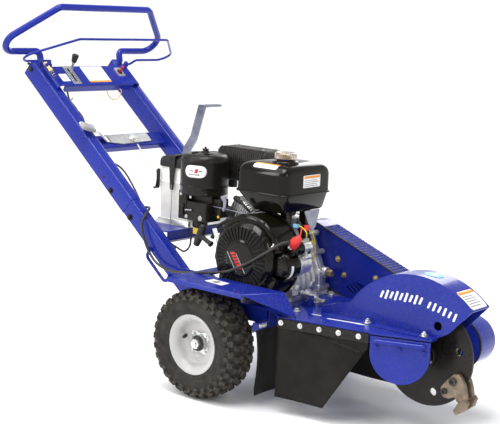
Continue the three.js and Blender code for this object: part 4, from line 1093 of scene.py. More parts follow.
# ---------- battery ----------
def battery():
    x0, x1, y0, y1 = -411, -279, -62, 135
    centre = Matrix.Translation(((x0 + x1) / 2, (y0 + y1) / 2, 0))
    case = Shape(centre)
    w, d = x1 - x0, y1 - y0
    stations = [(432, -2), (433.5, 0), (446, 0), (449, -3), (560, -0.6), (562, 0.4), (566, 0.4), (568, -1),
                (605, -1), (612.5, -3)]
    case.loft([[(u, v, z) for u, v in rounded_rect(w + 2 * grow, d + 2 * grow, 9, 6)] for z,
               grow in stations])
    case.piece("battery_case", "case", replaces="battery", smooth=30)
    tray = Shape(centre)
    tray.loft([[(u, v, z) for u, v in rounded_rect(w + 2 * g, d + 2 * g, 12, 6)]
               for z, g in ((431.3, 9), (435, 9), (448, 1.5), (448, 0.5), (436, 6), (432.5, 6))], wrap=True)
    tray.piece("battery_tray", "zinc", smooth=30)
    cover = Shape(centre)
    stations = [(613, 1), (614, 3.6), (628, 3.6), (637, 1.5), (643, -4), (646, -12), (646.6, -24)]
    cover.loft([[(u, v, z) for u, v in rounded_rect(w + 2 * g, d + 2 * g, max(6, 14 + g), 6)] for z,
                g in stations])
    cover.piece("battery_lid", "plastic", replaces="battery_cover", smooth=50)
    strap = Shape()
    strap.strip(bent([(-347.5, -70, 640), (-347.5, -70, 651), (-347.5, 143, 651), (-347.5, 143, 640)], 9),
                (1, 0, 0), 25, 4)
    rods = Shape()
    for y in (-72, 141):
        strap.prism(rounded([(-360, 644), (-335, 644), (-341, 545), (-347, 541), (-353, 545)], 3), y, y + 4)
        rods.rod((-347, y + 2, 560), (-347, y + 2, 431.5), 2.2, 14)
    strap.piece("battery_strap_band", "plastic", replaces="battery_strap", bevel=0.6)
    rods.piece("battery_strap_rods", "zinc")
    bracket = Shape()
    wedge = [(-72, 600), (-64.5, 604), (-64.5, 548), (-70, 541)]
    bracket.prism(wedge, -414, -403, "yz")
    bracket.tube(bent([(-408, -70, 590), (-411, -72, 560), (-414, -73, 541), (-420, -74, 541),
                       (-421, -74, 546)], 4), 2.6)
    bracket.piece("battery_hold_down", "plastic", bevel=0.5)
    ends = Shape()
    for y in (-30, 100):
        post = Matrix.Translation((-300, y, 646))
        ends.lathe([(11, -4), (11, 1), (8, 4), (0, 4.6)], post, 24)
    ends.piece("battery_vent_plugs", "plastic")


battery()


# ---------- belt guard ----------
def belt_guard():
    def loop(inset, y):
        return [(u, y, v) for u, v in belt_outline(GUARD_R[0] - inset, GUARD_R[1] - inset)]

    guard = Shape()
    walls = [(3, 189), (3, 100.6), (0, 100.6), (0, 184), (0.8, 187.4), (2.8, 190.2), (6, 191.7), (9, 192)]
    guard.loft([loop(inset, y) for inset, y in walls])
    guard.piece("belt_guard_shell", "blue", replaces="belt_guard", smooth=30)
    back = Shape()
    slots = [((229 + 11.6 * i, z), (252 + 11.6 * i, z - 18)) for i,
             z in enumerate((311, 317, 323, 327, 325, 321, 317))]
    holes = [circle((CRANK.x, CRANK.z), 22), circle((CUTTER.x, CUTTER.z), 22)]
    holes += [capsule(a, b, 2.4, 5) for a, b in slots]
    back.plate(belt_outline(GUARD_R[0] + 4, GUARD_R[1] + 4), holes, 97, 100)
    back.piece("belt_guard_back_plate", "blue", replaces="belt_guard_back", bevel=0.5)
    trim = Shape()
    edge = [(u, 98.2, v) for u, v in belt_outline(GUARD_R[0] + 4, GUARD_R[1] + 4)]
    trim.tube(edge, 2.7, 10, wrap=True)
    trim.piece("belt_guard_trim", "plastic")
    bolts = Shape()
    for x, z in ((216, 343), (191, 388), (330, 352), (520, 268)):
        bolts.bolt((x, 97, z), (0, -1, 0), 10, 5)
    for x, z in ((75, 466), (75, 352), (350, 350), (350, 280), (640, 262)):
        bolts.bolt((x, 192, z), (0, 1, 0), 10, 5)
    bolts.piece("belt_guard_bolts", "brass", bevel=0.3)
    top = math.degrees(math.asin((GUARD_R[0] - GUARD_R[1]) / (CUTTER - CRANK).length))
    fall = math.atan2(CRANK.z - CUTTER.z, CUTTER.x - CRANK.x) + math.radians(top)
    start = CRANK + Vector((math.sin(fall), 0, math.cos(fall))) * GUARD_R[0]
    run = Matrix.Translation(start) @ Matrix.Rotation(fall, 4, "Y")
    # The dark strips under the louvre hoods are painted shade for the openings.
    slot_shade, hoods = Shape(run), Shape(run)
    for i in range(43):
        x = 22 + i * 12.4
        slot_shade.box((x, 112, -0.5), (x + 6.5, 181, 0.25))
        hoods.prism([(x + 5.5, -0.2), (x + 11.4, -0.2), (x + 8.6, 1.8), (x + 6.2, 2.8), (x + 5.4, 2.4)], 111,
                    182)
    slot_shade.piece("belt_guard_louvre_painted_shade", "dark")
    hoods.piece("belt_guard_louvres", "blue", bevel=0.3, segments=1)
    # The dark discs flush with the guard's face are painted shade for the vent holes.
    vent_shade = Shape()
    for ring, count in ((14, 6), (27, 12), (40, 18)):
        for k in range(count):
            a = 2 * math.pi * k / count
            spot = (CRANK.x + ring * math.cos(a), 191.9, CRANK.z + ring * math.sin(a))
            vent_shade.lathe([(3.4, 0), (3.4, 0.35)], along((0, 1, 0), spot), 14)
    vent_shade.piece("belt_guard_vent_painted_shade", "dark")
    label("belt_guard_label", Matrix.Identity(4), (300, 285), (400, 330), 192, 5, strip="low", plane="xz")


belt_guard()


# ---------- cutter housing and guards ----------
def around(angle, radius):
    """A point of the XZ plane at an angle round the housing's centre."""
    a = math.radians(angle)
    return (HOUSING_C[0] + radius * math.cos(a), HOUSING_C[1] + radius * math.sin(a))


def housing():
    y0, y1 = HOUSING_Y
    start, back = 47, 146
    crown = arc(HOUSING_C, HOUSING_R, start, back, 60)
    tail = (290, DECK_TOP + 16.3)
    side = [(290, DECK_TOP + 0.3), (673, DECK_TOP + 0.3), (709, 299), *crown, tail]
    shape = Shape()
    bore = circle((673, 312), 12, 24)
    shape.plate(side, [bore], y0, y0 + 3)
    shape.plate(side, [], y1 - 3, y1)
    inner = arc(HOUSING_C, HOUSING_R - 3, start, back, 60) + [(290, DECK_TOP + 13.1)]
    outer = arc(HOUSING_C, HOUSING_R + 0.4, start, back, 60) + [(290, DECK_TOP + 16.8)]
    shape.prism(outer + inner[::-1], y0 - 0.9, y1 + 0.9)
    shape.box((320, -136, DECK_TOP + 0.3), (673, y0 + 0.5, DECK_TOP + 3.3))
    shape.box((290, y0 + 1, DECK_TOP + 0.3), (345, y1 - 1, DECK_TOP + 3))
    shape.piece("cutter_housing_shell", "blue", replaces="cutter_housing", bevel=0.7, smooth=30)
    bolts = Shape()
    for x in (459, 641):
        bolts.bolt((x, -123, DECK_TOP + 3.3), (0, 0, 1), 13, 7)
        bolts.rod((x, -123, DECK_TOP + 8), (x, -123, DECK_TOP + 16), 4.5)
    bolts.piece("housing_bolts", "zinc", bevel=0.3)

    def band(a0, a1, ya, yb, lift):
        def point(u, v):
            x, z = around(a0 + (a1 - a0) * v, HOUSING_R + lift)
            return (x, ya + (yb - ya) * u, z)
        return point

    patch("housing_label", "white", band(48, 62.8, -104, -26, 1.0), corner=0.06)
    patch("housing_label_head", "orange", band(60, 62.5, -102, -28, 1.3), up=2)
    for i in range(5):
        end = -42 if i % 2 else -50
        patch("housing_label_line_%d" % i, "print", band(50.2 + 1.9 * i, 50.9 + 1.9 * i, -98, end, 1.3), up=2)
    patch("housing_badge", "pale_blue", band(78.5, 91, -86, -40, 1.0), corner=0.45, up=14)
    patch("housing_badge_mark", "white", band(82, 87, -74, -52, 1.3), corner=0.5, up=8)
    dashes = Shape()

    def dash(x, z, half, wide, lean=4):
        outline = rounded([(x - wide - lean, z - half), (x + wide - lean, z - half),
                           (x + wide + lean, z + half),
                           (x - wide + lean, z + half)], 1.8, 3)
        dashes.prism(outline, y0 - 0.45, y0 + 0.5)

    for i in range(9):
        x = 492 + 15.5 * i
        dash(x, 371 - 0.0006 * (x - 575) ** 2, 10 + 3 * (i % 2), 3.6)
    for i in range(6):
        x = 643 + 16 * i
        dash(x, 371 - 0.0011 * (x - 575) ** 2 - 2, 9 + 2 * (i % 2), 3.4)
    dashes.piece("housing_dashes", "white")


def side_guard():
    at, length = edge_frame(1)
    shape = Shape(at)
    mid, radius = length / 2, (length - 2) / 2
    outline = [(1, 250), *arc((mid, 228), radius, 180, 360, 40), (length - 1, 250), (length - 1, 270),
               (1, 270)]
    shape.plate(outline, [], -3.4, -0.4, "xz")
    shape.piece("side_guard_plate", "blue", replaces="side_guard", bevel=0.8)
    rib = Shape(at)
    rib.tube(bent([(16, -4, 258), (22, -6.5, 258), (length - 22, -6.5, 258), (length - 16, -4, 258)], 8), 6.5,
             20)
    rib.piece("side_guard_rib", "blue")
    bolts = Shape(at)
    for x in (18, mid, length - 18):
        bolts.bolt((x, -3.4, 242), (0, -1, 0), 10, 5)
    bolts.piece("side_guard_bolts", "blue", bevel=0.3)


def hanging(name, replaces, corners, billow, at=None, across=18, down=12, thickness=4.0, waist=0):
    """A rubber sheet between four corners (top start, top end, foot end, foot start) with a slight billow."""
    a, b, c, d = [Vector(p) for p in corners]
    normal = (b - a).cross(d - a).normalized()
    shape = Shape(at)
    rows = []
    for j in range(down + 1):
        v = j / down
        row = []
        for i in range(across + 1):
            u = i / across
            p = a.lerp(b, u).lerp(d.lerp(c, u), v)
            pull = (b - a).normalized() * waist * math.sin(math.pi * min(1, v * 1.08)) * (1 - u)
            row.append(shape.bm.verts.new(p + pull + normal * billow(u, v)))
        rows.append(row)
    for top, low in zip(rows, rows[1:]):
        for i in range(across):
            shape.bm.faces.new((top[i], top[i + 1], low[i + 1], low[i]))
    shape.place([vert for row in rows for vert in row], None)
    return shape.piece(name, "sheet", replaces=replaces, thickness=thickness, smooth=60)


def skirts():
    at, length = edge_frame(0)
    hanging("skirt_right_sheet", "skirt_right",
            [(2, -1, 275), (length - 14, -1, 221), (150, -1, 43), (2, -1, 49)],
            lambda u, v: 5 * math.sin(math.pi * u) * v * (1 - 0.35 * v), at)
    corner = Shape(at)
    corner.prism([(2, 275), (length - 4, 275), (length - 4, 235), (length - 14, 221)], -4.4, -1, "xz")
    corner.piece("skirt_right_top", "sheet", bevel=0.6)
    hanging("skirt_rear_sheet", "skirt_rear", [(172.7, -264, 249), (172.7, 84, 249), (172.7, 84, 33),
                                               (172.7, -252, 33)],
            lambda u, v: 5 * math.sin(math.pi * v) + 4 * v * math.sin(9 * u), waist=20)
    hanging("skirt_left_sheet", "skirt_left", [(470, 88, 273), (250, 88, 273), (256, 88, 55), (420, 88, 55)],
            lambda u, v: 4 * v * math.sin(math.pi * u))
    clamp = Shape(at)
    clamp.prism(rounded([(1, 249), (length - 2, 249), (length - 2, 274), (1, 274)], 3), -7.8, -4.6, "xz")
    clamp.piece("skirt_clamp_bar", "satin", replaces="skirt_clamp", bevel=0.6)
    bolts = Shape(at)
    for x in (13, 72, 130, 188, 247):
        bolts.bolt((x, -7.8, 264), (0, -1, 0), 8.5, 4.5)
    bolts.piece("skirt_bolts", "zinc", bevel=0.3)


# ---------- cutter and drive ----------
def cutter():
    centre = (CUTTER.x, CUTTER.z)
    holes = [circle(centre, 19, 28)]
    for k in range(4):
        a = math.radians(15 + 90 * k)
        holes.append(circle((centre[0] + 104 * math.cos(a), centre[1] + 104 * math.sin(a)), 11, 22))
    disc = Shape()
    disc.plate(circle(centre, 142, 96), holes, -69.5, -60.5)
    hub = along((0, -1, 0), (CUTTER.x, -45, CUTTER.z))
    disc.lathe([(19, 0), (33, 0), (34, 1), (34, 38), (32, 40), (19, 40)], hub, 48, closed=True)
    disc.piece("cutter_disc_plate", "satin", "cutter", "cutter_disc", bevel=1.0)
    bolts = Shape()
    for k in range(4):
        a = math.radians(60 + 90 * k)
        spot = (CUTTER.x + 26 * math.cos(a), -85, CUTTER.z + 26 * math.sin(a))
        bolts.bolt(spot, (0, -1, 0), 11, 5, washer=False)
    bolts.piece("cutter_hub_bolts", "steel", "cutter", bevel=0.3)
    for number, angle, near in ((1, -37, True), (2, -34, False), (3, 143, True), (4, 146, False)):
        tooth(number, angle, near)
    shaft = Shape()
    low, high = span("cutter_shaft")
    shaft.rod((CUTTER.x, low.y, CUTTER.z), (CUTTER.x, high.y, CUTTER.z), 12.5, 36, 1.2)
    shaft.bolt((CUTTER.x, low.y + 12, CUTTER.z), (0, -1, 0), 22, 10)
    shaft.piece("cutter_shaft_bar", "steel", "cutter", "cutter_shaft")


def tooth(number, angle, near):
    """A bolted holder plate with its carbide tip, on one face of the disc."""
    a = math.radians(angle)
    turn = Matrix(((math.cos(a), 0, -math.sin(a), 0), (0, 1, 0, 0), (math.sin(a), 0, math.cos(a), 0),
                   (0, 0, 0, 1)))
    at = Matrix.Translation((CUTTER.x, -65, CUTTER.z)) @ turn
    face = -1 if near else 1
    inner, outer, cap = face * 5.3, face * 19.3, face * 27
    holder = [(92, -24), (100, -36), (116, -40), (130, -31), (139, -13), (150, -17), (166, -14), (168, 9),
              (151, 25),
              (135, 36), (120, 42), (106, 43), (96, 32), (92, 0)]
    body = Shape(at)
    body.prism(rounded(holder, 5, 3), *sorted((inner, outer)))
    body.piece("tooth_%d_holder" % number, "tooth", "cutter", "tooth_%d" % number, bevel=2.2, segments=3)
    tip = Shape(at)
    outline = [(162, -40), (176, -43), (184, -17), (178, 5), (166, 8), (158, -14)]
    tip.prism(rounded(outline, 3, 3), *sorted((face * 8, cap)))
    tip.piece("tooth_%d_tip" % number, "tooth", "cutter", bevel=1.6, segments=2)
    screws = Shape(at)
    for x, z, r in ((108, 16, 11), (108, -24, 8.5)):
        screws.socket((x, outer - face * 0.5, z), (0, face, 0), r, 7.5)
    screws.piece("tooth_%d_screws" % number, "iron", "cutter")


def drive():
    for side in ("right", "left"):
        low, high = span("bearing_" + side)
        outward = -1 if side == "right" else 1
        face = low.y if side == "left" else high.y
        base = face if side == "left" else face
        at = along((0, outward, 0), (CUTTER.x, base, CUTTER.z))
        depth = high.y - low.y
        flange = Shape(at)
        flange.lathe([(15, 0), (39, 0), (40, 1), (40, 5.5), (34, 7), (29, 9), (27, depth - 1), (26, depth),
                      (15, depth)],
                     Matrix.Identity(4), 48, closed=True)
        flange.lathe([(12.6, -0.5), (15, -0.5), (15, depth + 0.5), (12.6, depth + 0.5)], Matrix.Identity(4),
                     36, True)
        flange.piece("bearing_%s_flange" % side, "iron", replaces="bearing_" + side, bevel=0.5)
        bolts = Shape(at)
        for k in range(3):
            a = math.radians(90 + 120 * k)
            bolts.bolt((33 * math.cos(a), 33 * math.sin(a), 6), (0, 0, 1), 10, 5, washer=False)
        bolts.piece("bearing_%s_bolts" % side, "zinc", bevel=0.3)
    pulley("drive_pulley", (CRANK.x, CRANK.z), "crank", "drive_pulley")
    pulley("driven_pulley", (CUTTER.x, CUTTER.z), "cutter", "driven_pulley")
    for name in ("drive_belt_1", "drive_belt_2"):
        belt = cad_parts[name]
        belt.data.materials.clear()
        belt.data.materials.append(LOOKS["sheath"][0])


def pulley(name, centre, body, node):
    """A two-groove V pulley with a web and a set-screw hub."""
    low, high = span(node)
    radius = (high.x - low.x) / 2
    wide = min(31.0, high.y - low.y)
    at = along((0, 1, 0), (centre[0], high.y - wide, centre[1]))
    sheave = Shape(at)
    half = wide / 2
    rim, root = radius, radius - 11
    sheave.lathe([
        (13, 0), (24, 0), (24, 3), (root - 8, 5), (root - 3, 1), (rim, 0.6), (rim, 2), (root, 5),
        (root, half - 4),
        (rim, half - 1.2), (rim, half + 1.2), (root, half + 4), (root, wide - 5), (rim, wide - 2),
        (rim, wide - 0.6),
        (root - 3, wide - 1), (root - 8, wide - 5), (24, wide - 3), (24, wide), (13, wide),
    ], Matrix.Identity(4), 64, closed=True)
    if high.y - wide - low.y > 2:
        sheave.rod((0, 0, low.y - high.y + wide), (0, 0, wide - 2), 12.5, 32)
    sheave.piece(name + "_sheave", "iron", body, node, smooth=30)


housing()
side_guard()
skirts()
cutter()
drive()


# ---------- engine ----------
def reach(outline, centre, angle):
    """How far an outline lies from a centre along an angle in degrees."""
    turn = math.radians(angle)
    dx, dz = math.cos(turn), math.sin(turn)
    best = 0
    for (x0, z0), (x1, z1) in zip(outline, outline[1:] + outline[:1]):
        ex, ez = x1 - x0, z1 - z0
        flat = dx * ez - dz * ex
        if abs(flat) < 1e-9:
            continue
        t = ((x0 - centre[0]) * ez - (z0 - centre[1]) * ex) / flat
        k = ((x0 - centre[0]) * dz - (z0 - centre[1]) * dx) / flat
        if t > 0 and -1e-9 <= k <= 1 + 1e-9:
            best = max(best, t)
    return best


def bite(distance, angle, pocket, radius):
    """The distance along an angle from the crank, shortened where a round pocket cuts in."""
    away = Vector((pocket.x - CRANK.x, pocket.z - CRANK.z))
    off = math.radians(angle) - math.atan2(away.y, away.x)
    off = math.atan2(math.sin(off), math.cos(off))
    chord = radius ** 2 - (away.length * math.sin(off)) ** 2
    if chord <= 0 or abs(off) > 1:
        return distance
    return min(distance, away.length * math.cos(off) - math.sqrt(chord))


def crankcase():
    shape = Shape()
    foot = rounded([(-30, -98), (168, -98), (168, 91), (-30, 91)], 12)
    shape.prism(foot, DECK_TOP + 0.3, 291, "xy")
    rings = []
    for z, inset, x1 in ((286, 8, 160), (292, 3, 163), (300, 0, 163), (343, 0, 163), (400, 0, 138),
                         (460, 0, 111),
                         (502, 0, 92), (511, 4, 86), (516, 14, 76)):
        rings.append([(x, y, z) for x, y in rounded_pair(-25 + inset, x1 - inset, -99 + inset, 92.5 - inset,
                                                         22)])
    shape.loft(rings)
    cover = rounded([(-27, 292), (166, 292), (166, 345), (92, 512), (60, 518), (-27, 518)], 18)
    shape.prism(cover, 44, 50)
    shape.prism(cover, 53, 59)
    for x, z in ((160, 302), (161, 350), (137, 404), (113, 458), (90, 504)):
        shape.rod((x, 40, z), (x, 91, z), 9, 20, 1.2)
    for y in (-78, -54, -30, -6, 18):
        rib = [(162, 300), (168, 304), (168, 346), (96, 508), (88, 508), (158, 343)]
        shape.prism(rib, y - 2.4, y + 2.4)
    for y in (-66, 6):
        shape.rod((150, y, 318), (172, y, 318), 13, 24, 2, end_radius=11)
    shape.rod((120, -42, 430), (150, -42, 443), 12, 24, 2, end_radius=10)
    shape.prism([(100, 292), (170, 292), (176, 300), (172, 318), (100, 318)], -96, -70)
    for centre, radius, depth in ((STARTER, 31, -139.7), (SOLENOID, 13, -126.7)):
        at = along((0, -1, 0), (centre.x, -84, centre.z))
        height = -84 - depth
        shape.lathe([(radius - 2, 0), (radius, 2), (radius, height - 8), (radius - 3, height - 6),
                     (radius - 3, height - 3), (radius, height - 2), (radius - 1, height), (0, height)], at,
                     40)
    for inner, r0, outer, r1 in (((130, 400), 48, STARTER, 31), ((125, 435), 35, SOLENOID, 13)):
        hull = two_rounds(inner, r0, (outer.x, outer.z), r1)
        shape.prism(hull, -98, -84)
    for x, z in ((170, 372), (196, 372), (186, 432), (224, 424)):
        shape.rod((x, -118, z), (x, -88, z), 7, 18, 1)
    shape.piece("crankcase_casting", "aluminium", replaces="engine_block", bevel=1.6, segments=3, limit=30)
    lean = Matrix.Translation((CRANK.x, 0, CRANK.z)) @ Matrix.Rotation(math.radians(25), 4, "Y")
    fins = Shape(lean)
    barrel = [(y + 9, z) for y, z in rounded_rect(104, 92, 22)]
    fins.loft([[(x, y, z) for y, z in barrel] for x in (-216, -90)])
    for i in range(10):
        x = -212 + 8.6 * i
        wide, tall = (138, 124) if i % 3 else (136, 120)
        fin = [(y + 9, z) for y, z in rounded_rect(wide, tall, 16)]
        fins.loft([[(x, y, z) for y, z in fin], [(x + 2.8, y, z) for y, z in fin]])
    head = [(y + 9, z) for y, z in rounded_rect(118, 100, 20)]
    fins.loft([[(x, 9 + (y - 9) * k, z * k) for y, z in head] for x, k in
               ((-212, 1.0), (-219, 1.0), (-220, 0.96), (-221, 0.86), (-222, 0.7))])
    fins.piece("cylinder_fins", "aluminium", bevel=0.8, limit=40)
    cap = Shape(lean)
    for y, z in ((-40, -34), (58, -34), (-40, 34), (58, 34)):
        cap.bolt((-219, y, z), (-1, 0, 0), 9, 3, washer=False)
    cap.rod((-205, -30, 46), (-205, -52, 58), 7, 18)
    cap.piece("valve_cover_bolts", "zinc", bevel=0.3)
    boot = Shape(lean)
    boot.tube(bent([(-205, -50, 56), (-205, -70, 62), (-170, -76, 66), (-120, -74, 56)], 12),
              [8, 8, 8, 8, 8, 8, 8, 8, 6, 5, 4, 4, 4, 4, 4, 4], 12)
    boot.piece("spark_plug_lead", "plastic")
    plugs = Shape()
    plugs.bolt((168, -66, 318), (1, 0, 0), 14, 6)
    plugs.bolt((169, -42, 300), (1, 0, 0), 12, 6)
    for x, z in ((160, 302), (161, 350), (137, 404), (113, 458), (90, 504)):
        plugs.bolt((x, 91, z), (0, 1, 0), 10, 3, washer=False)
    for x, z in ((170, 372), (196, 372), (186, 432), (224, 424)):
        plugs.bolt((x, -118, z), (0, -1, 0), 10, 5)
    plugs.piece("crankcase_bolts", "zinc", bevel=0.3)
    bracket = Shape()
    bracket.plate(rounded([(-44, 543), (34, 543), (16, 492), (-2, 476), (-26, 512)], 4),
                  [circle((0, 512), 4, 16)],
                  158, 161.5, "yz")
    bracket.prism([(96, 480), (160, 500), (160, 504), (94, 486)], -20, 14)
    bracket.piece("tank_bracket", "steel_with_painted_reflection", bevel=0.6)
    feet = Shape()
    for x, y in ((62, -70), (116, -70), (62, 20), (116, 20)):
        feet.prism(rounded_pair(x - 12, x + 12, y - 14, y + 14, 4), 500 if x < 90 else 450, 543, "xy")
    feet.piece("tank_feet", "satin", bevel=1)


def two_rounds(a, ra, b, rb, steps=16):
    """The outline of a strap round two circles."""
    run = math.hypot(b[0] - a[0], b[1] - a[1])
    slope = math.degrees(math.atan2(b[1] - a[1], b[0] - a[0]))
    lean = math.degrees(math.asin((rb - ra) / run))
    up, down = slope + 90 + lean, slope - 90 - lean
    return arc(b, rb, down, up, steps) + arc(a, ra, up, down + 360, steps)


def cowl():
    centre = (CRANK.x, CRANK.z)
    outline = arc(centre, 126, -60, 150, 40) + [(-53, 390)] + arc(centre, 112, 215, 290, 20)
    angles = [-60 + 2.5 * i for i in range(144)]
    far = [reach(outline, centre, a) for a in angles]
    cut = [bite(bite(r, a, STARTER, 38.5), a, SOLENOID, 21.5) for r, a in zip(far, angles)]
    rings = []
    for y, inset in ((-99.6, 0), (-150, 0), (-184, 0), (-189, 1.2), (-193, 4), (-195.3, 8), (-196, 14)):
        rings.append([(CRANK.x + (r - inset) * math.cos(math.radians(a)), y,
                       CRANK.z + (r - inset) * math.sin(math.radians(a))) for r, a in zip(cut, angles)])
    shape = Shape()
    shape.loft(rings)
    shape.piece("fan_cowl_pressing", "gloss", replaces="fan_cowl", smooth=50)
    seams = Shape()
    lip = [(CRANK.x + (r + 1.6) * math.cos(math.radians(a)), -104,
            CRANK.z + (r + 1.6) * math.sin(math.radians(a)))
           for r, a in zip(cut, angles)]
    seams.tube(lip, 2.6, 8, wrap=True)
    for a in (20, 62, 108, 146):
        t = math.radians(a)
        spot = (CRANK.x + 118 * math.cos(t), -192, CRANK.z + 118 * math.sin(t))
        seams.lathe([(7, -3), (7, 2), (5, 3)], along((0, -1, 0), spot), 20)
    seams.piece("fan_cowl_lip", "gloss", bevel=0.4)
    at = along((0, -1, 0), (CRANK.x, -196.4, CRANK.z))
    cover = Shape()
    cover.lathe([(0, 0), (108, 0), (108, 6), (107, 9), (103.5, 14), (99.5, 20), (97, 22.4), (93, 23.6),
                 (64, 25.5),
                 (54, 26.4), (51, 28), (46, 28.6), (0, 28.6)], at, 96)
    cover.piece("recoil_cover_dome", "gloss", replaces="recoil_cover", smooth=28)
    # The dark blocks between the ribs are painted shade for the slots.
    ribs, slot_shade = Shape(at), Shape(at)
    for i in range(40):
        turn = Matrix.Rotation(2 * math.pi * i / 40, 4, "Z")
        ribs.loft([[(56, -1.9, 25.4), (56, 1.9, 25.4), (56, 1.4, 28.2), (56, -1.4, 28.2)],
                   [(92, -2.6, 22.6), (92, 2.6, 22.6), (92, 1.9, 27), (92, -1.9, 27)],
                   [(101, -2.4, 14.5), (101, 2.4, 14.5), (103, 1.6, 16), (103, -1.6, 16)]], turn)
        slot_shade.loft([[(58, 2.6, 25.0), (58, 6.0, 25.0), (58, 6.0, 26.1), (58, 2.6, 26.1)],
                   [(90, 3.6, 23.2), (90, 10.0, 23.2), (90, 10.0, 24.2), (90, 3.6, 24.2)]], turn)
    ribs.piece("recoil_cover_ribs", "gloss", bevel=0.5)
    slot_shade.piece("recoil_cover_slot_painted_shade", "dark")
    bolts = Shape()
    for a in (40, 130, 220, 310):
        t = math.radians(a)
        bolts.bolt((CRANK.x + 101 * math.cos(t), -212, CRANK.z + 101 * math.sin(t)), (0, -1, 0), 9, 4)
    bolts.piece("recoil_cover_bolts", "satin", bevel=0.3)
    plate = Shape()
    plate.prism(rounded([(30, 426), (57, 432), (93, 379), (70, 366)], 5), -226.4, -224)
    plate.piece("recoil_badge", "plastic", bevel=0.5)
    mark = Shape()
    for k in range(6):
        a = k / 6
        x, z = 41 + 33 * a, 424 - 47 * a
        mark.prism(rounded([(x, z), (x + 15, z + 4), (x + 19, z - 1.6), (x + 4, z - 5.8)], 1), -226.8, -226.2)
    mark.piece("recoil_badge_bars", "red")
    lines = Shape()
    for shift in (-9, 24):
        lines.tube([(38 + shift, -226.2, 425), (74 + shift, -226.2, 371)], 1.1, 8)
    lines.piece("recoil_badge_edges", "bright")
    loop = Shape()
    loop.tube(bent([(100, -196, 478), (85, -204, 493), (121, -204, 464), (130, -204, 439), (169, -204, 448),
                    (176, -196, 466)], 7), 3.2, 12)
    loop.piece("lifting_loop", "bright")
    tag = Shape()
    tag.prism(rounded([(-62, 474), (-46, 478), (-29, 437), (-42, 430)], 2), -192, -190)
    tag.piece("cowl_tag", "white")
    rubber = Shape()
    rubber.tube(bent([(-36, -150, 500), (-70, -160, 476), (-80, -172, 440)], 16), 6, 12)
    rubber.piece("breather_hose", "plastic")


def grip():
    at = (Matrix.Translation((-36, -214, 429)) @ Matrix.Rotation(math.radians(-66), 4, "Y"))
    shape = Shape(at)
    shape.lathe([(9, 8), (9, 14), (7, 18), (7, 42), (10, 50), (10, 56)], Matrix.Identity(4), 28)
    for side in (-1, 1):
        shape.lathe([(11.5, 0), (12, 10), (11, 24), (9.6, 33), (6, 36), (0, 36.2)],
                    along((side, 0, 0), (0, 0, 59)), 28)
    shape.piece("pull_grip_tee", "plastic", "pull_grip", "recoil_grip", bevel=0.5)


def starter():
    can = along((0, -1, 0), (STARTER.x, -140, STARTER.z))
    shape = Shape()
    shape.lathe([(34, 0), (37, 2), (37, 42), (36, 44), (34.5, 45), (34.5, 46.5), (30, 49), (29, 53), (24, 55),
                 (10, 55),
                 (9, 53), (0, 53)], can, 48)
    coil = along((0, -1, 0), (SOLENOID.x, -127, SOLENOID.z))
    shape.lathe([(17, 0), (20, 2), (20, 31), (18.5, 34), (14, 35), (14, 37), (0, 37)], coil, 36)
    shape.tube(bent([(SOLENOID.x + 6, -160, SOLENOID.z - 4), (SOLENOID.x + 10, -166, 440),
                     (STARTER.x + 8, -166, 430)],
                    8), 4, 12)
    shape.piece("starter_can", "gloss", replaces="starter_motor", smooth=35)
    screws = Shape()
    for dx, dz in ((22, 0), (-22, 0)):
        screws.bolt((STARTER.x + dx, -189, STARTER.z + dz), (0, -1, 0), 8, 3, washer=False)
    screws.bolt((SOLENOID.x - 6, -164, SOLENOID.z + 6), (0, -1, 0), 8, 4)
    screws.rod((SOLENOID.x - 6, -164, SOLENOID.z + 6), (SOLENOID.x - 6, -174, SOLENOID.z + 6), 3)
    screws.piece("starter_screws", "zinc", bevel=0.2)

    def can_point(u, v):
        angle = math.radians(-62 + 74 * v)
        return (STARTER.x + 37.2 * math.cos(angle), -186 + 11 * u, STARTER.z + 37.2 * math.sin(angle))

    patch("starter_label", "white", can_point, corner=0.08)
    boot = Shape()
    boot.tube([(222, -162, 458), (226, -170, 466), (233, -176, 475), (241, -178, 482), (248, -177, 488),
               (253, -174, 492)], [8, 12.5, 15, 14.5, 11.5, 6], 20)
    boot.piece("starter_terminal_boot", "red", smooth=60)


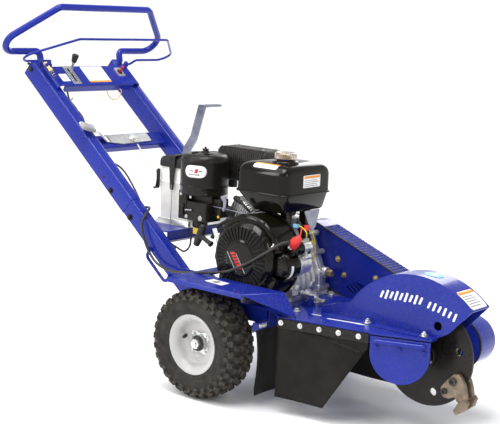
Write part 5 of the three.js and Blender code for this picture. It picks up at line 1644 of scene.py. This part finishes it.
def tank():
    x0, x1, y0, y1 = -28, 166, -142, 82
    lower = ((541, 74, 20, 16, 34, 14), (542.4, 66, 13, 10, 26, 16), (547, 58, 9, 6, 20, 18),
             (589.5, 4, 2, 1, 3, 26), (590.3, -2.4, -2.4, -2.4, -2.4, 28))
    upper = ((591.5, -3, 28), (594.8, -3, 28), (595.8, -2.2, 28), (596.2, 0, 27), (604, 0.6, 27),
             (646, 0.8, 27),
             (655, 2.4, 26), (663, 6, 25), (670, 12, 24), (675, 20, 23), (678, 30, 22), (680.5, 44, 20),
             (682.6, 62, 14), (683.6, 82, 8))
    rings = []
    for z, rear, front, near, far, radius in (*lower, *((z, i, i, i, i, r) for z, i, r in upper)):
        rings.append([(x, y, z) for x, y in rounded_pair(x0 + rear, x1 - front, y0 + near, y1 - far, radius)])
    shape = Shape()
    shape.loft(rings)
    neck = Matrix.Translation((101, -66, 0))
    shape.lathe([(39, 668), (40, 677), (39, 683), (36, 686), (31, 686.5), (29, 684), (26, 684), (25.6, 691),
                 (0, 691)],
                neck, 48)
    shape.piece("fuel_tank_shell", "gloss", replaces="fuel_tank", smooth=44)
    low, high = span("fuel_cap")
    cap = Shape()
    ribs = []
    for z, r, depth in ((low.z, 29, 0), (low.z + 1, 30.5, 0), (low.z + 2, 32, 1.6), (high.z - 4, 32, 1.6),
                        (high.z - 2.4, 30.6, 0.8), (high.z - 1.4, 29, 0), (high.z - 0.8, 27, 0),
                        (high.z - 1.6, 25, 0),
                        (high.z - 1.8, 6, 0)):
        ribs.append([((r - depth * (k % 4 > 1)) * math.cos(2 * math.pi * k / 144),
                      (r - depth * (k % 4 > 1)) * math.sin(2 * math.pi * k / 144), z) for k in range(144)])
    cap.loft(ribs, neck)
    cap.piece("fuel_cap_knurled", "cap", "tank_cap", "fuel_cap", smooth=30)
    tag = Shape()
    tag.prism(rounded_pair(-60, 20, 612, 648, 3), x1 - 0.9, x1 - 0.1, "yz")
    tag.piece("tank_label", "white")
    strip = Shape()
    strip.prism(rounded_pair(-57, 17, 639, 646, 1), x1 - 0.3, x1 + 0.2, "yz")
    strip.piece("tank_label_strip", "orange")
    lines = Shape()
    for i in range(4):
        lines.prism(rounded_pair(-55, 12 - 9 * (i % 2), 616 + 5.4 * i, 617.6 + 5.4 * i, 0.5), x1 - 0.3,
                    x1 + 0.15, "yz")
    lines.piece("tank_label_lines", "print")

    def shoulder(u, v, lift):
        """A point on the tank's near shoulder, v from its edge inward."""
        x = 34 + 88 * u
        levels = ((0, 646.4, 0.8), (0.18, 655, 2.4), (0.36, 663, 6), (0.56, 670, 12), (0.78, 675, 20),
                  (1, 678, 30))
        for (v0, za, ia), (v1, zb, ib) in zip(levels, levels[1:]):
            if v <= v1:
                k = (v - v0) / (v1 - v0)
                return (x, y0 + ia + (ib - ia) * k - lift * 0.6, za + (zb - za) * k + lift)
        return (x, y0 + 30, 678 + lift)

    patch("tank_top_label", "white", lambda u, v: shoulder(u, 0.42 + 0.4 * v, 0.7), corner=0.1)
    patch("tank_top_label_strip", "orange", lambda u, v: shoulder(u, 0.82 + 0.16 * v, 0.7), up=3)


def air_cleaner():
    at = Matrix.Translation((-200, -80, 0))
    can = Shape()
    can.lathe([(0, 552), (70, 552), (73, 555), (74, 574), (75.4, 576), (75.4, 580), (74, 582), (74, 584),
               (74.8, 640),
               (74.6, 652), (76, 653), (76.2, 656), (75, 658.4), (72.6, 664), (68, 670.6), (62, 674.4),
               (55, 676),
               (50, 675.2), (46, 676.4), (30, 678.6), (14, 679.6), (12, 683), (0, 683)], at, 72)
    can.piece("air_cleaner_can", "satin", replaces="air_cleaner", smooth=35)
    nut = Shape(at)
    nut.rod((0, 0, 680), (0, 0, 696), 3.4, 18)
    nut.lathe([(7, 682.5), (7, 688), (5.5, 690)], Matrix.Identity(4), 20)
    for side in (-1, 1):
        nut.prism(rounded([(side * 5, 683), (side * 11, 685), (side * 13, 690), (side * 9, 691),
                           (side * 6, 688)], 1.2),
                  -1.6, 1.6)
    nut.piece("air_cleaner_wing_nut", "satin", bevel=0.4)
    clip = Shape(at)
    clip.prism(rounded_pair(-22, -10, -40, -20, 2), 676, 681, "xy")
    clip.prism(rounded_pair(18, 34, -30, -14, 2), 676, 680, "xy")
    clip.piece("air_cleaner_lid_pads", "satin", bevel=1)

    def wall(u, v, lift=0.8):
        angle = math.radians(-90 + 18.7 - 27.9 + 55.8 * u)
        return (-200 + (74.4 + lift) * math.cos(angle), -80 + (74.4 + lift) * math.sin(angle), 608.5 + 37 * v)

    patch("air_cleaner_label", "white", wall, corner=(0.253, 0.5), up=14)
    patch("air_cleaner_label_patch", "red", lambda u, v: wall(0.46 + 0.14 * u + 0.05 * v, 0.38 + 0.34 * v,
                                                              1.1), up=4,
          across=4)
    for i in range(3):
        patch("air_cleaner_label_line_%d" % i, "print",
              lambda u, v: wall((0.25, 0.66, 0.2)[i] + (0.17, 0.14, 0.5)[i] * u, (0.5, 0.5, 0.2)[i] + 0.1 * v,
                                1.1),
              up=2, across=4)


def carburettor():
    box = Shape()
    box.prism(rounded_pair(-258, -222, -134, -64, 6), 473, 560.7, "xy")
    box.prism(rounded_pair(-224, -140, -134, -64, 6), 473, 531, "xy")
    box.prism(rounded_pair(-224, -140, -112, -66, 6), 529, 556, "xy")
    box.prism(rounded_pair(-226, -141, -133, -64, 5), 554, 560.7, "xy")
    box.prism(rounded_pair(-142, -108, -104, -66, 6), 489, 545, "xy")
    box.lathe([(22, 478), (24, 474), (24, 456), (21, 450), (8, 447.6), (8, 444), (0, 444)],
              Matrix.Translation((-192, -102, 0)), 36)
    box.piece("carburettor_box", "satin", replaces="carburettor", bevel=2, segments=3)
    screws = Shape()
    for x, z, r in ((-221, 483, 6), (-164, 484, 8), (-206, 545, 5), (-246, 550, 5)):
        screws.lathe([(r, 0), (r, 1.1), (r - 0.8, 1.7), (0, 1.8)], along((0, -1, 0), (x, -134, z)), 20)
    screws.bolt((-192, -102, 445), (0, 0, -1), 10, 3, washer=False)
    screws.rod((-224, -137, 503), (-196, -137, 506), 3, 14)
    screws.piece("carburettor_screws", "steel", bevel=0.2)
    dot = Shape()
    dot.lathe([(4.4, 0), (4.4, 2.6), (3, 4), (0, 4.4)], along((0, -1, 0), (-116, -104, 492)), 16)
    dot.piece("idle_screw_cap", "yellow")
    plug = Shape()
    plug.prism(rounded_pair(-206, -184, -120, -104, 3), 430, 452, "xy")
    plug.piece("fuel_valve_connector", "yellow", bevel=1)
    choke = Shape()
    choke.lathe([(7, 0), (7, 3), (5, 4.6), (0, 5)], along((0, -1, 0), (-236, -134.6, 515)), 24)
    choke.prism(rounded([(-240, 520), (-232, 520), (-231.6, 496), (-229.4, 485), (-242.6, 485),
                         (-240.4, 496)], 3),
                -139.6, -136.2)
    choke.piece("choke_lever_arm", "satin", "choke", "choke_lever", bevel=0.5)
    governor = Shape()
    arm = rounded([(-104, 553), (-88, 559), (-80, 548), (-84, 516), (-94, 514), (-93, 542)], 3)
    governor.prism(arm, -112, -109)
    governor.tube([(-165, -110, 524), (-98, -113, 523), (26, -110, 517)], 1.4, 8)
    governor.lathe([(6, 0), (6, 3), (4, 4)], along((0, -1, 0), (-89, -112, 520)), 18)
    governor.prism(rounded([(20, 522), (36, 526), (40, 514), (28, 508)], 3), -114, -106)
    governor.piece("governor_linkage", "steel_with_painted_reflection", bevel=0.3)
    intake = Shape()
    intake.tube(bent([(-150, -80, 512), (-118, -70, 510), (-96, -40, 496)], 14), 17, 20)
    intake.piece("intake_pipe", "iron")


def muffler():
    x0, x1, y0, y1, z0, z1 = -234, -36, 3, 109, 591, 693
    shell = Shape()
    rings = []
    for z, inset in ((z0, 10), (z0 + 3, 4), (z0 + 9, 1.5), (z0 + 20, 1), (z1 - 22, 1), (z1 - 12, 2),
                     (z1 - 5, 6),
                     (z1 - 1.6, 13), (z1 - 0.6, 24)):
        rings.append([(x, y, z) for x, y in rounded_pair(x0 + inset, x1 - inset, y0 + inset, y1 - inset, 16)])
    shell.loft(rings)
    shell.rod((-190, 40, 600), (-190, 40, 564), 16, 28)
    shell.rod((-52, 60, 640), (-30, 66, 630), 13, 24)
    shell.piece("muffler_shell", "iron", replaces="muffler", smooth=44)
    grille = Shape()
    for i in range(22):
        x = x0 + 16 + i * 8
        grille.prism([(y0 - 0.4, z0 + 16), (y0 + 3, z0 + 12), (y0 + 3, z1 - 10), (y0 + 14, z1 - 2),
                      (y0 + 14, z1 + 0.4),
                      (y0 + 6, z1 - 2), (y0 - 0.4, z1 - 12)], x, x + 4.4, "yz")
    for i in range(22):
        x = x0 + 16 + i * 8
        grille.prism([(y1 - 3, z0 + 12), (y1 + 0.4, z0 + 16), (y1 + 0.4, z1 - 12), (y1 - 3, z1 - 10)], x,
                     x + 4.4, "yz")
    for i in range(9):
        y = y0 + 20 + i * 8
        grille.prism([(x0 - 0.4, z0 + 16), (x0 + 3, z0 + 12), (x0 + 3, z1 - 10), (x0 - 0.4, z1 - 12)], y,
                     y + 4, "xz")
    grille.piece("muffler_grille", "satin", bevel=0.5, segments=1)
    # The dark capsules flush with the top are painted shade for the guard's slots.
    slots = Shape()
    for x in (-176, -104):
        slots.prism(capsule((x, 62), (x + 26, 62), 4), z1 - 0.8, z1 - 0.3, "xy")
    slots.piece("muffler_slot_painted_shade", "dark")
    screws = Shape()
    for x, y in ((-208, 30), (-62, 30), (-208, 86), (-62, 86)):
        screws.bolt((x, y, z1 - 1.2), (0, 0, 1), 8, 2.4, washer=False)
    screws.piece("muffler_screws", "steel", bevel=0.2)


def small_parts():
    oil = Shape(along((1, 0, 0), (163, 68, 347)))
    oil.lathe([(15, -4), (17, -2), (17, 9), (15.5, 12), (12, 12), (0, 12)], Matrix.Identity(4), 36)
    oil.piece("oil_filler_boss", "aluminium", "oil_plug", "oil_cap")
    plug = Shape(along((1, 0, 0), (175, 68, 347)))
    plug.lathe([(13, 0), (13.6, 1), (13.6, 3.4), (12.6, 4.4)], Matrix.Identity(4), 36)
    plug.lathe([(11.6, 3), (11.6, 17), (10, 19.4), (8.6, 19.6), (8.4, 14), (0, 13.6)], Matrix.Identity(4), 6)
    plug.piece("oil_filler_plug", "tooth", "oil_plug", bevel=0.8)
    wires = (
        ("loom_black", "plastic", 3.6, [(150, -40, 486), (172, -30, 474), (176, -24, 452), (175, -22, 428),
                                        (168, -34, 408)]),
        ("wire_yellow", "yellow", 1.7, [(160, -34, 500), (174, -10, 468), (176, -2, 436), (172, 4, 404),
                                        (166, -9, 382)]),
        ("wire_red", "red", 1.9, [(248, -172, 489), (240, -156, 512), (214, -130, 520), (176, -90, 508)]),
        ("wire_black", "plastic", 2.4, [(236, -152, 516), (214, -132, 528), (180, -100, 516),
                                        (150, -60, 498)]),
        ("wire_yellow_short", "yellow", 1.8, [(222, -150, 520), (236, -150, 518), (250, -146, 506),
                                              (246, -138, 488)]),
    )
    for name, look, radius, points in wires:
        wire = Shape()
        wire.tube(catmull(points, 6), radius, 10)
        wire.piece(name, look)
    joints = Shape()
    joints.prism(rounded_pair(208, 226, -156, -146, 2), 514, 524, "xy")
    joints.piece("wire_joint_blue", "pale_blue", bevel=1)
    cap = Shape()
    cap.prism(rounded_pair(240, 254, -146, -134, 2), 510, 524, "xy")
    cap.piece("wire_joint_red", "red", bevel=1)
    clips = Shape()
    for y, x, z in ((-24, 177, 452), (-22, 176, 432)):
        clips.prism(rounded_pair(x - 5, x + 5, y - 5, y + 5, 2), z - 3, z + 3, "xy")
    clips.piece("loom_clips", "yellow", bevel=0.6)
    rods = Shape()
    for lift in (0, 11):
        rods.tube([(-287, -140, 387 + lift), (-199, -140, 317 + lift * 0.6)], 2.2, 10)
    rods.piece("stay_rods", "zinc")
    clamp = Shape()
    clamp.prism(rounded_pair(-272, -258, -146, -134, 2), 366, 382, "xy")
    clamp.piece("stay_rod_clamp", "plastic", bevel=1)
    rope = Shape()
    rope.tube(catmull([(-594, 20, 657), (-552, 24, 610), (-506, 20, 578), (-455, 10, 566), (-416, 4, 560)],
                      10), 2.4, 10)
    rope.piece("white_rope", "cord")
    wire = Shape(RAIL)
    wire.tube(catmull([(-296, 100, -17), (-262, 100, -30), (-235, 100, -20), (-224, 100, 6), (-232, 100, 28),
                       (-258, 100, 15)], 8), 1.6, 8)
    wire.piece("pale_wire_loop", "yellow")
    tie = Shape(RAIL)
    tie.strip(bent([(-212, -158, 20), (-212, -158, 2), (-212, -130, 2), (-212, -130, 22)], 4), (1, 0, 0), 5,
              1.6)
    tie.tube([(-212, -130, 4), (-205, -122, -12), (-196, -119, -26)], 1.4, 8)
    tie.piece("white_cable_tie", "white")
    clip = Shape(RAIL)
    clip.tube(bent([(-355, -180, 46), (-379, -181, 23), (-342, -181, 20)], 5), 2.0, 8)
    clip.piece("bail_spring_clip", "steel")
    saddles = Shape(RAIL)
    for s, n in ((-120, 18), (-10, -26), (110, 10), (250, 6)):
        saddles.prism(rounded_pair(n - 11, n + 9, -159.6, -158, 0.6)[::-1], s - 6, s + 6, "yz",
                      Matrix(((1, 0, 0, 0), (0, 0, 1, 0), (0, 1, 0, 0), (0, 0, 0, 1))))
    saddles.piece("cable_saddles", "plastic", bevel=0.3)


crankcase()
cowl()
grip()
starter()
tank()
air_cleaner()
carburettor()
muffler()
small_parts()


# ---------- floor and light ----------
LAMPS = (  # name, place in metres, width, height, watts
    ("left_box", (-2.4, -3.6, 2.3), 0.8, 1.8, 38),
    ("right_box", (3.8, -1.4, 3.0), 0.5, 1.6, 22),
    ("top_box", (0.2, -0.6, 3.4), 1.2, 2.0, 60),
    ("rear_box", (-1.4, 3.6, 2.4), 1.6, 1.8, 40),
)


def backdrop():
    """White paper all round the horizon under a dimmer ceiling."""
    world = bpy.data.worlds.new("studio")
    world.use_nodes = True
    nodes, links = world.node_tree.nodes, world.node_tree.links
    split = nodes.new("ShaderNodeSeparateXYZ")
    links.new(nodes.new("ShaderNodeTexCoord").outputs["Generated"], split.inputs["Vector"])
    fade = nodes.new("ShaderNodeMapRange")
    for slot, value in zip(("From Min", "From Max", "To Min", "To Max"), (0.2, 0.6, 1.05, 0.45)):
        fade.inputs[slot].default_value = value
    links.new(split.outputs["Z"], fade.inputs["Value"])
    links.new(fade.outputs["Result"], nodes["Background"].inputs["Strength"])
    nodes["Background"].inputs["Color"].default_value = (1, 1, 1, 1)
    bpy.context.scene.world = world


FLOOR_REACH = 30000
SUN_POWER = 2.0
SUN_SPREAD = math.radians(60)
SUN_FROM = Vector((-0.25, -0.42, 1))
LAMP_TARGET = Vector((0.1, 0, 0.4))


def studio():
    """The pale floor, the soft surroundings and the lamps."""
    floor = Shape()
    corners = ((-1, -1), (1, -1), (1, 1), (-1, 1))
    floor.sheet([[(x * FLOOR_REACH, y * FLOOR_REACH, 0) for x, y in corners]])
    mesh = bpy.data.meshes.new("floor")
    bmesh.ops.scale(floor.bm, vec=(MM, MM, MM), verts=floor.bm.verts)
    floor.bm.to_mesh(mesh)
    floor.bm.free()
    s = Surface("floor_paper", 0.9)
    s.colour(s.mix(s.noise(3, 4), (0.95, 0.95, 0.95), (0.97, 0.97, 0.97)))
    mesh.materials.append(s.material)
    ground = bpy.data.objects.new("floor", mesh)
    bpy.context.scene.collection.objects.link(ground)
    backdrop()
    sun = bpy.data.lights.new("overhead", "SUN")
    sun.energy = SUN_POWER
    sun.angle = SUN_SPREAD
    lamp = bpy.data.objects.new("overhead", sun)
    lamp.rotation_euler = SUN_FROM.to_track_quat("Z", "Y").to_euler()
    bpy.context.scene.collection.objects.link(lamp)
    for name, place, width, height, power in LAMPS:
        area = bpy.data.lights.new(name, "AREA")
        area.shape = "RECTANGLE"
        area.energy = power
        area.size = width
        area.size_y = height
        box_light = bpy.data.objects.new(name, area)
        box_light.location = place
        box_light.rotation_euler = (Vector(place) - LAMP_TARGET).to_track_quat("Z", "Y").to_euler()
        bpy.context.scene.collection.objects.link(box_light)
    bpy.context.scene.view_settings.view_transform = "Standard"


studio()
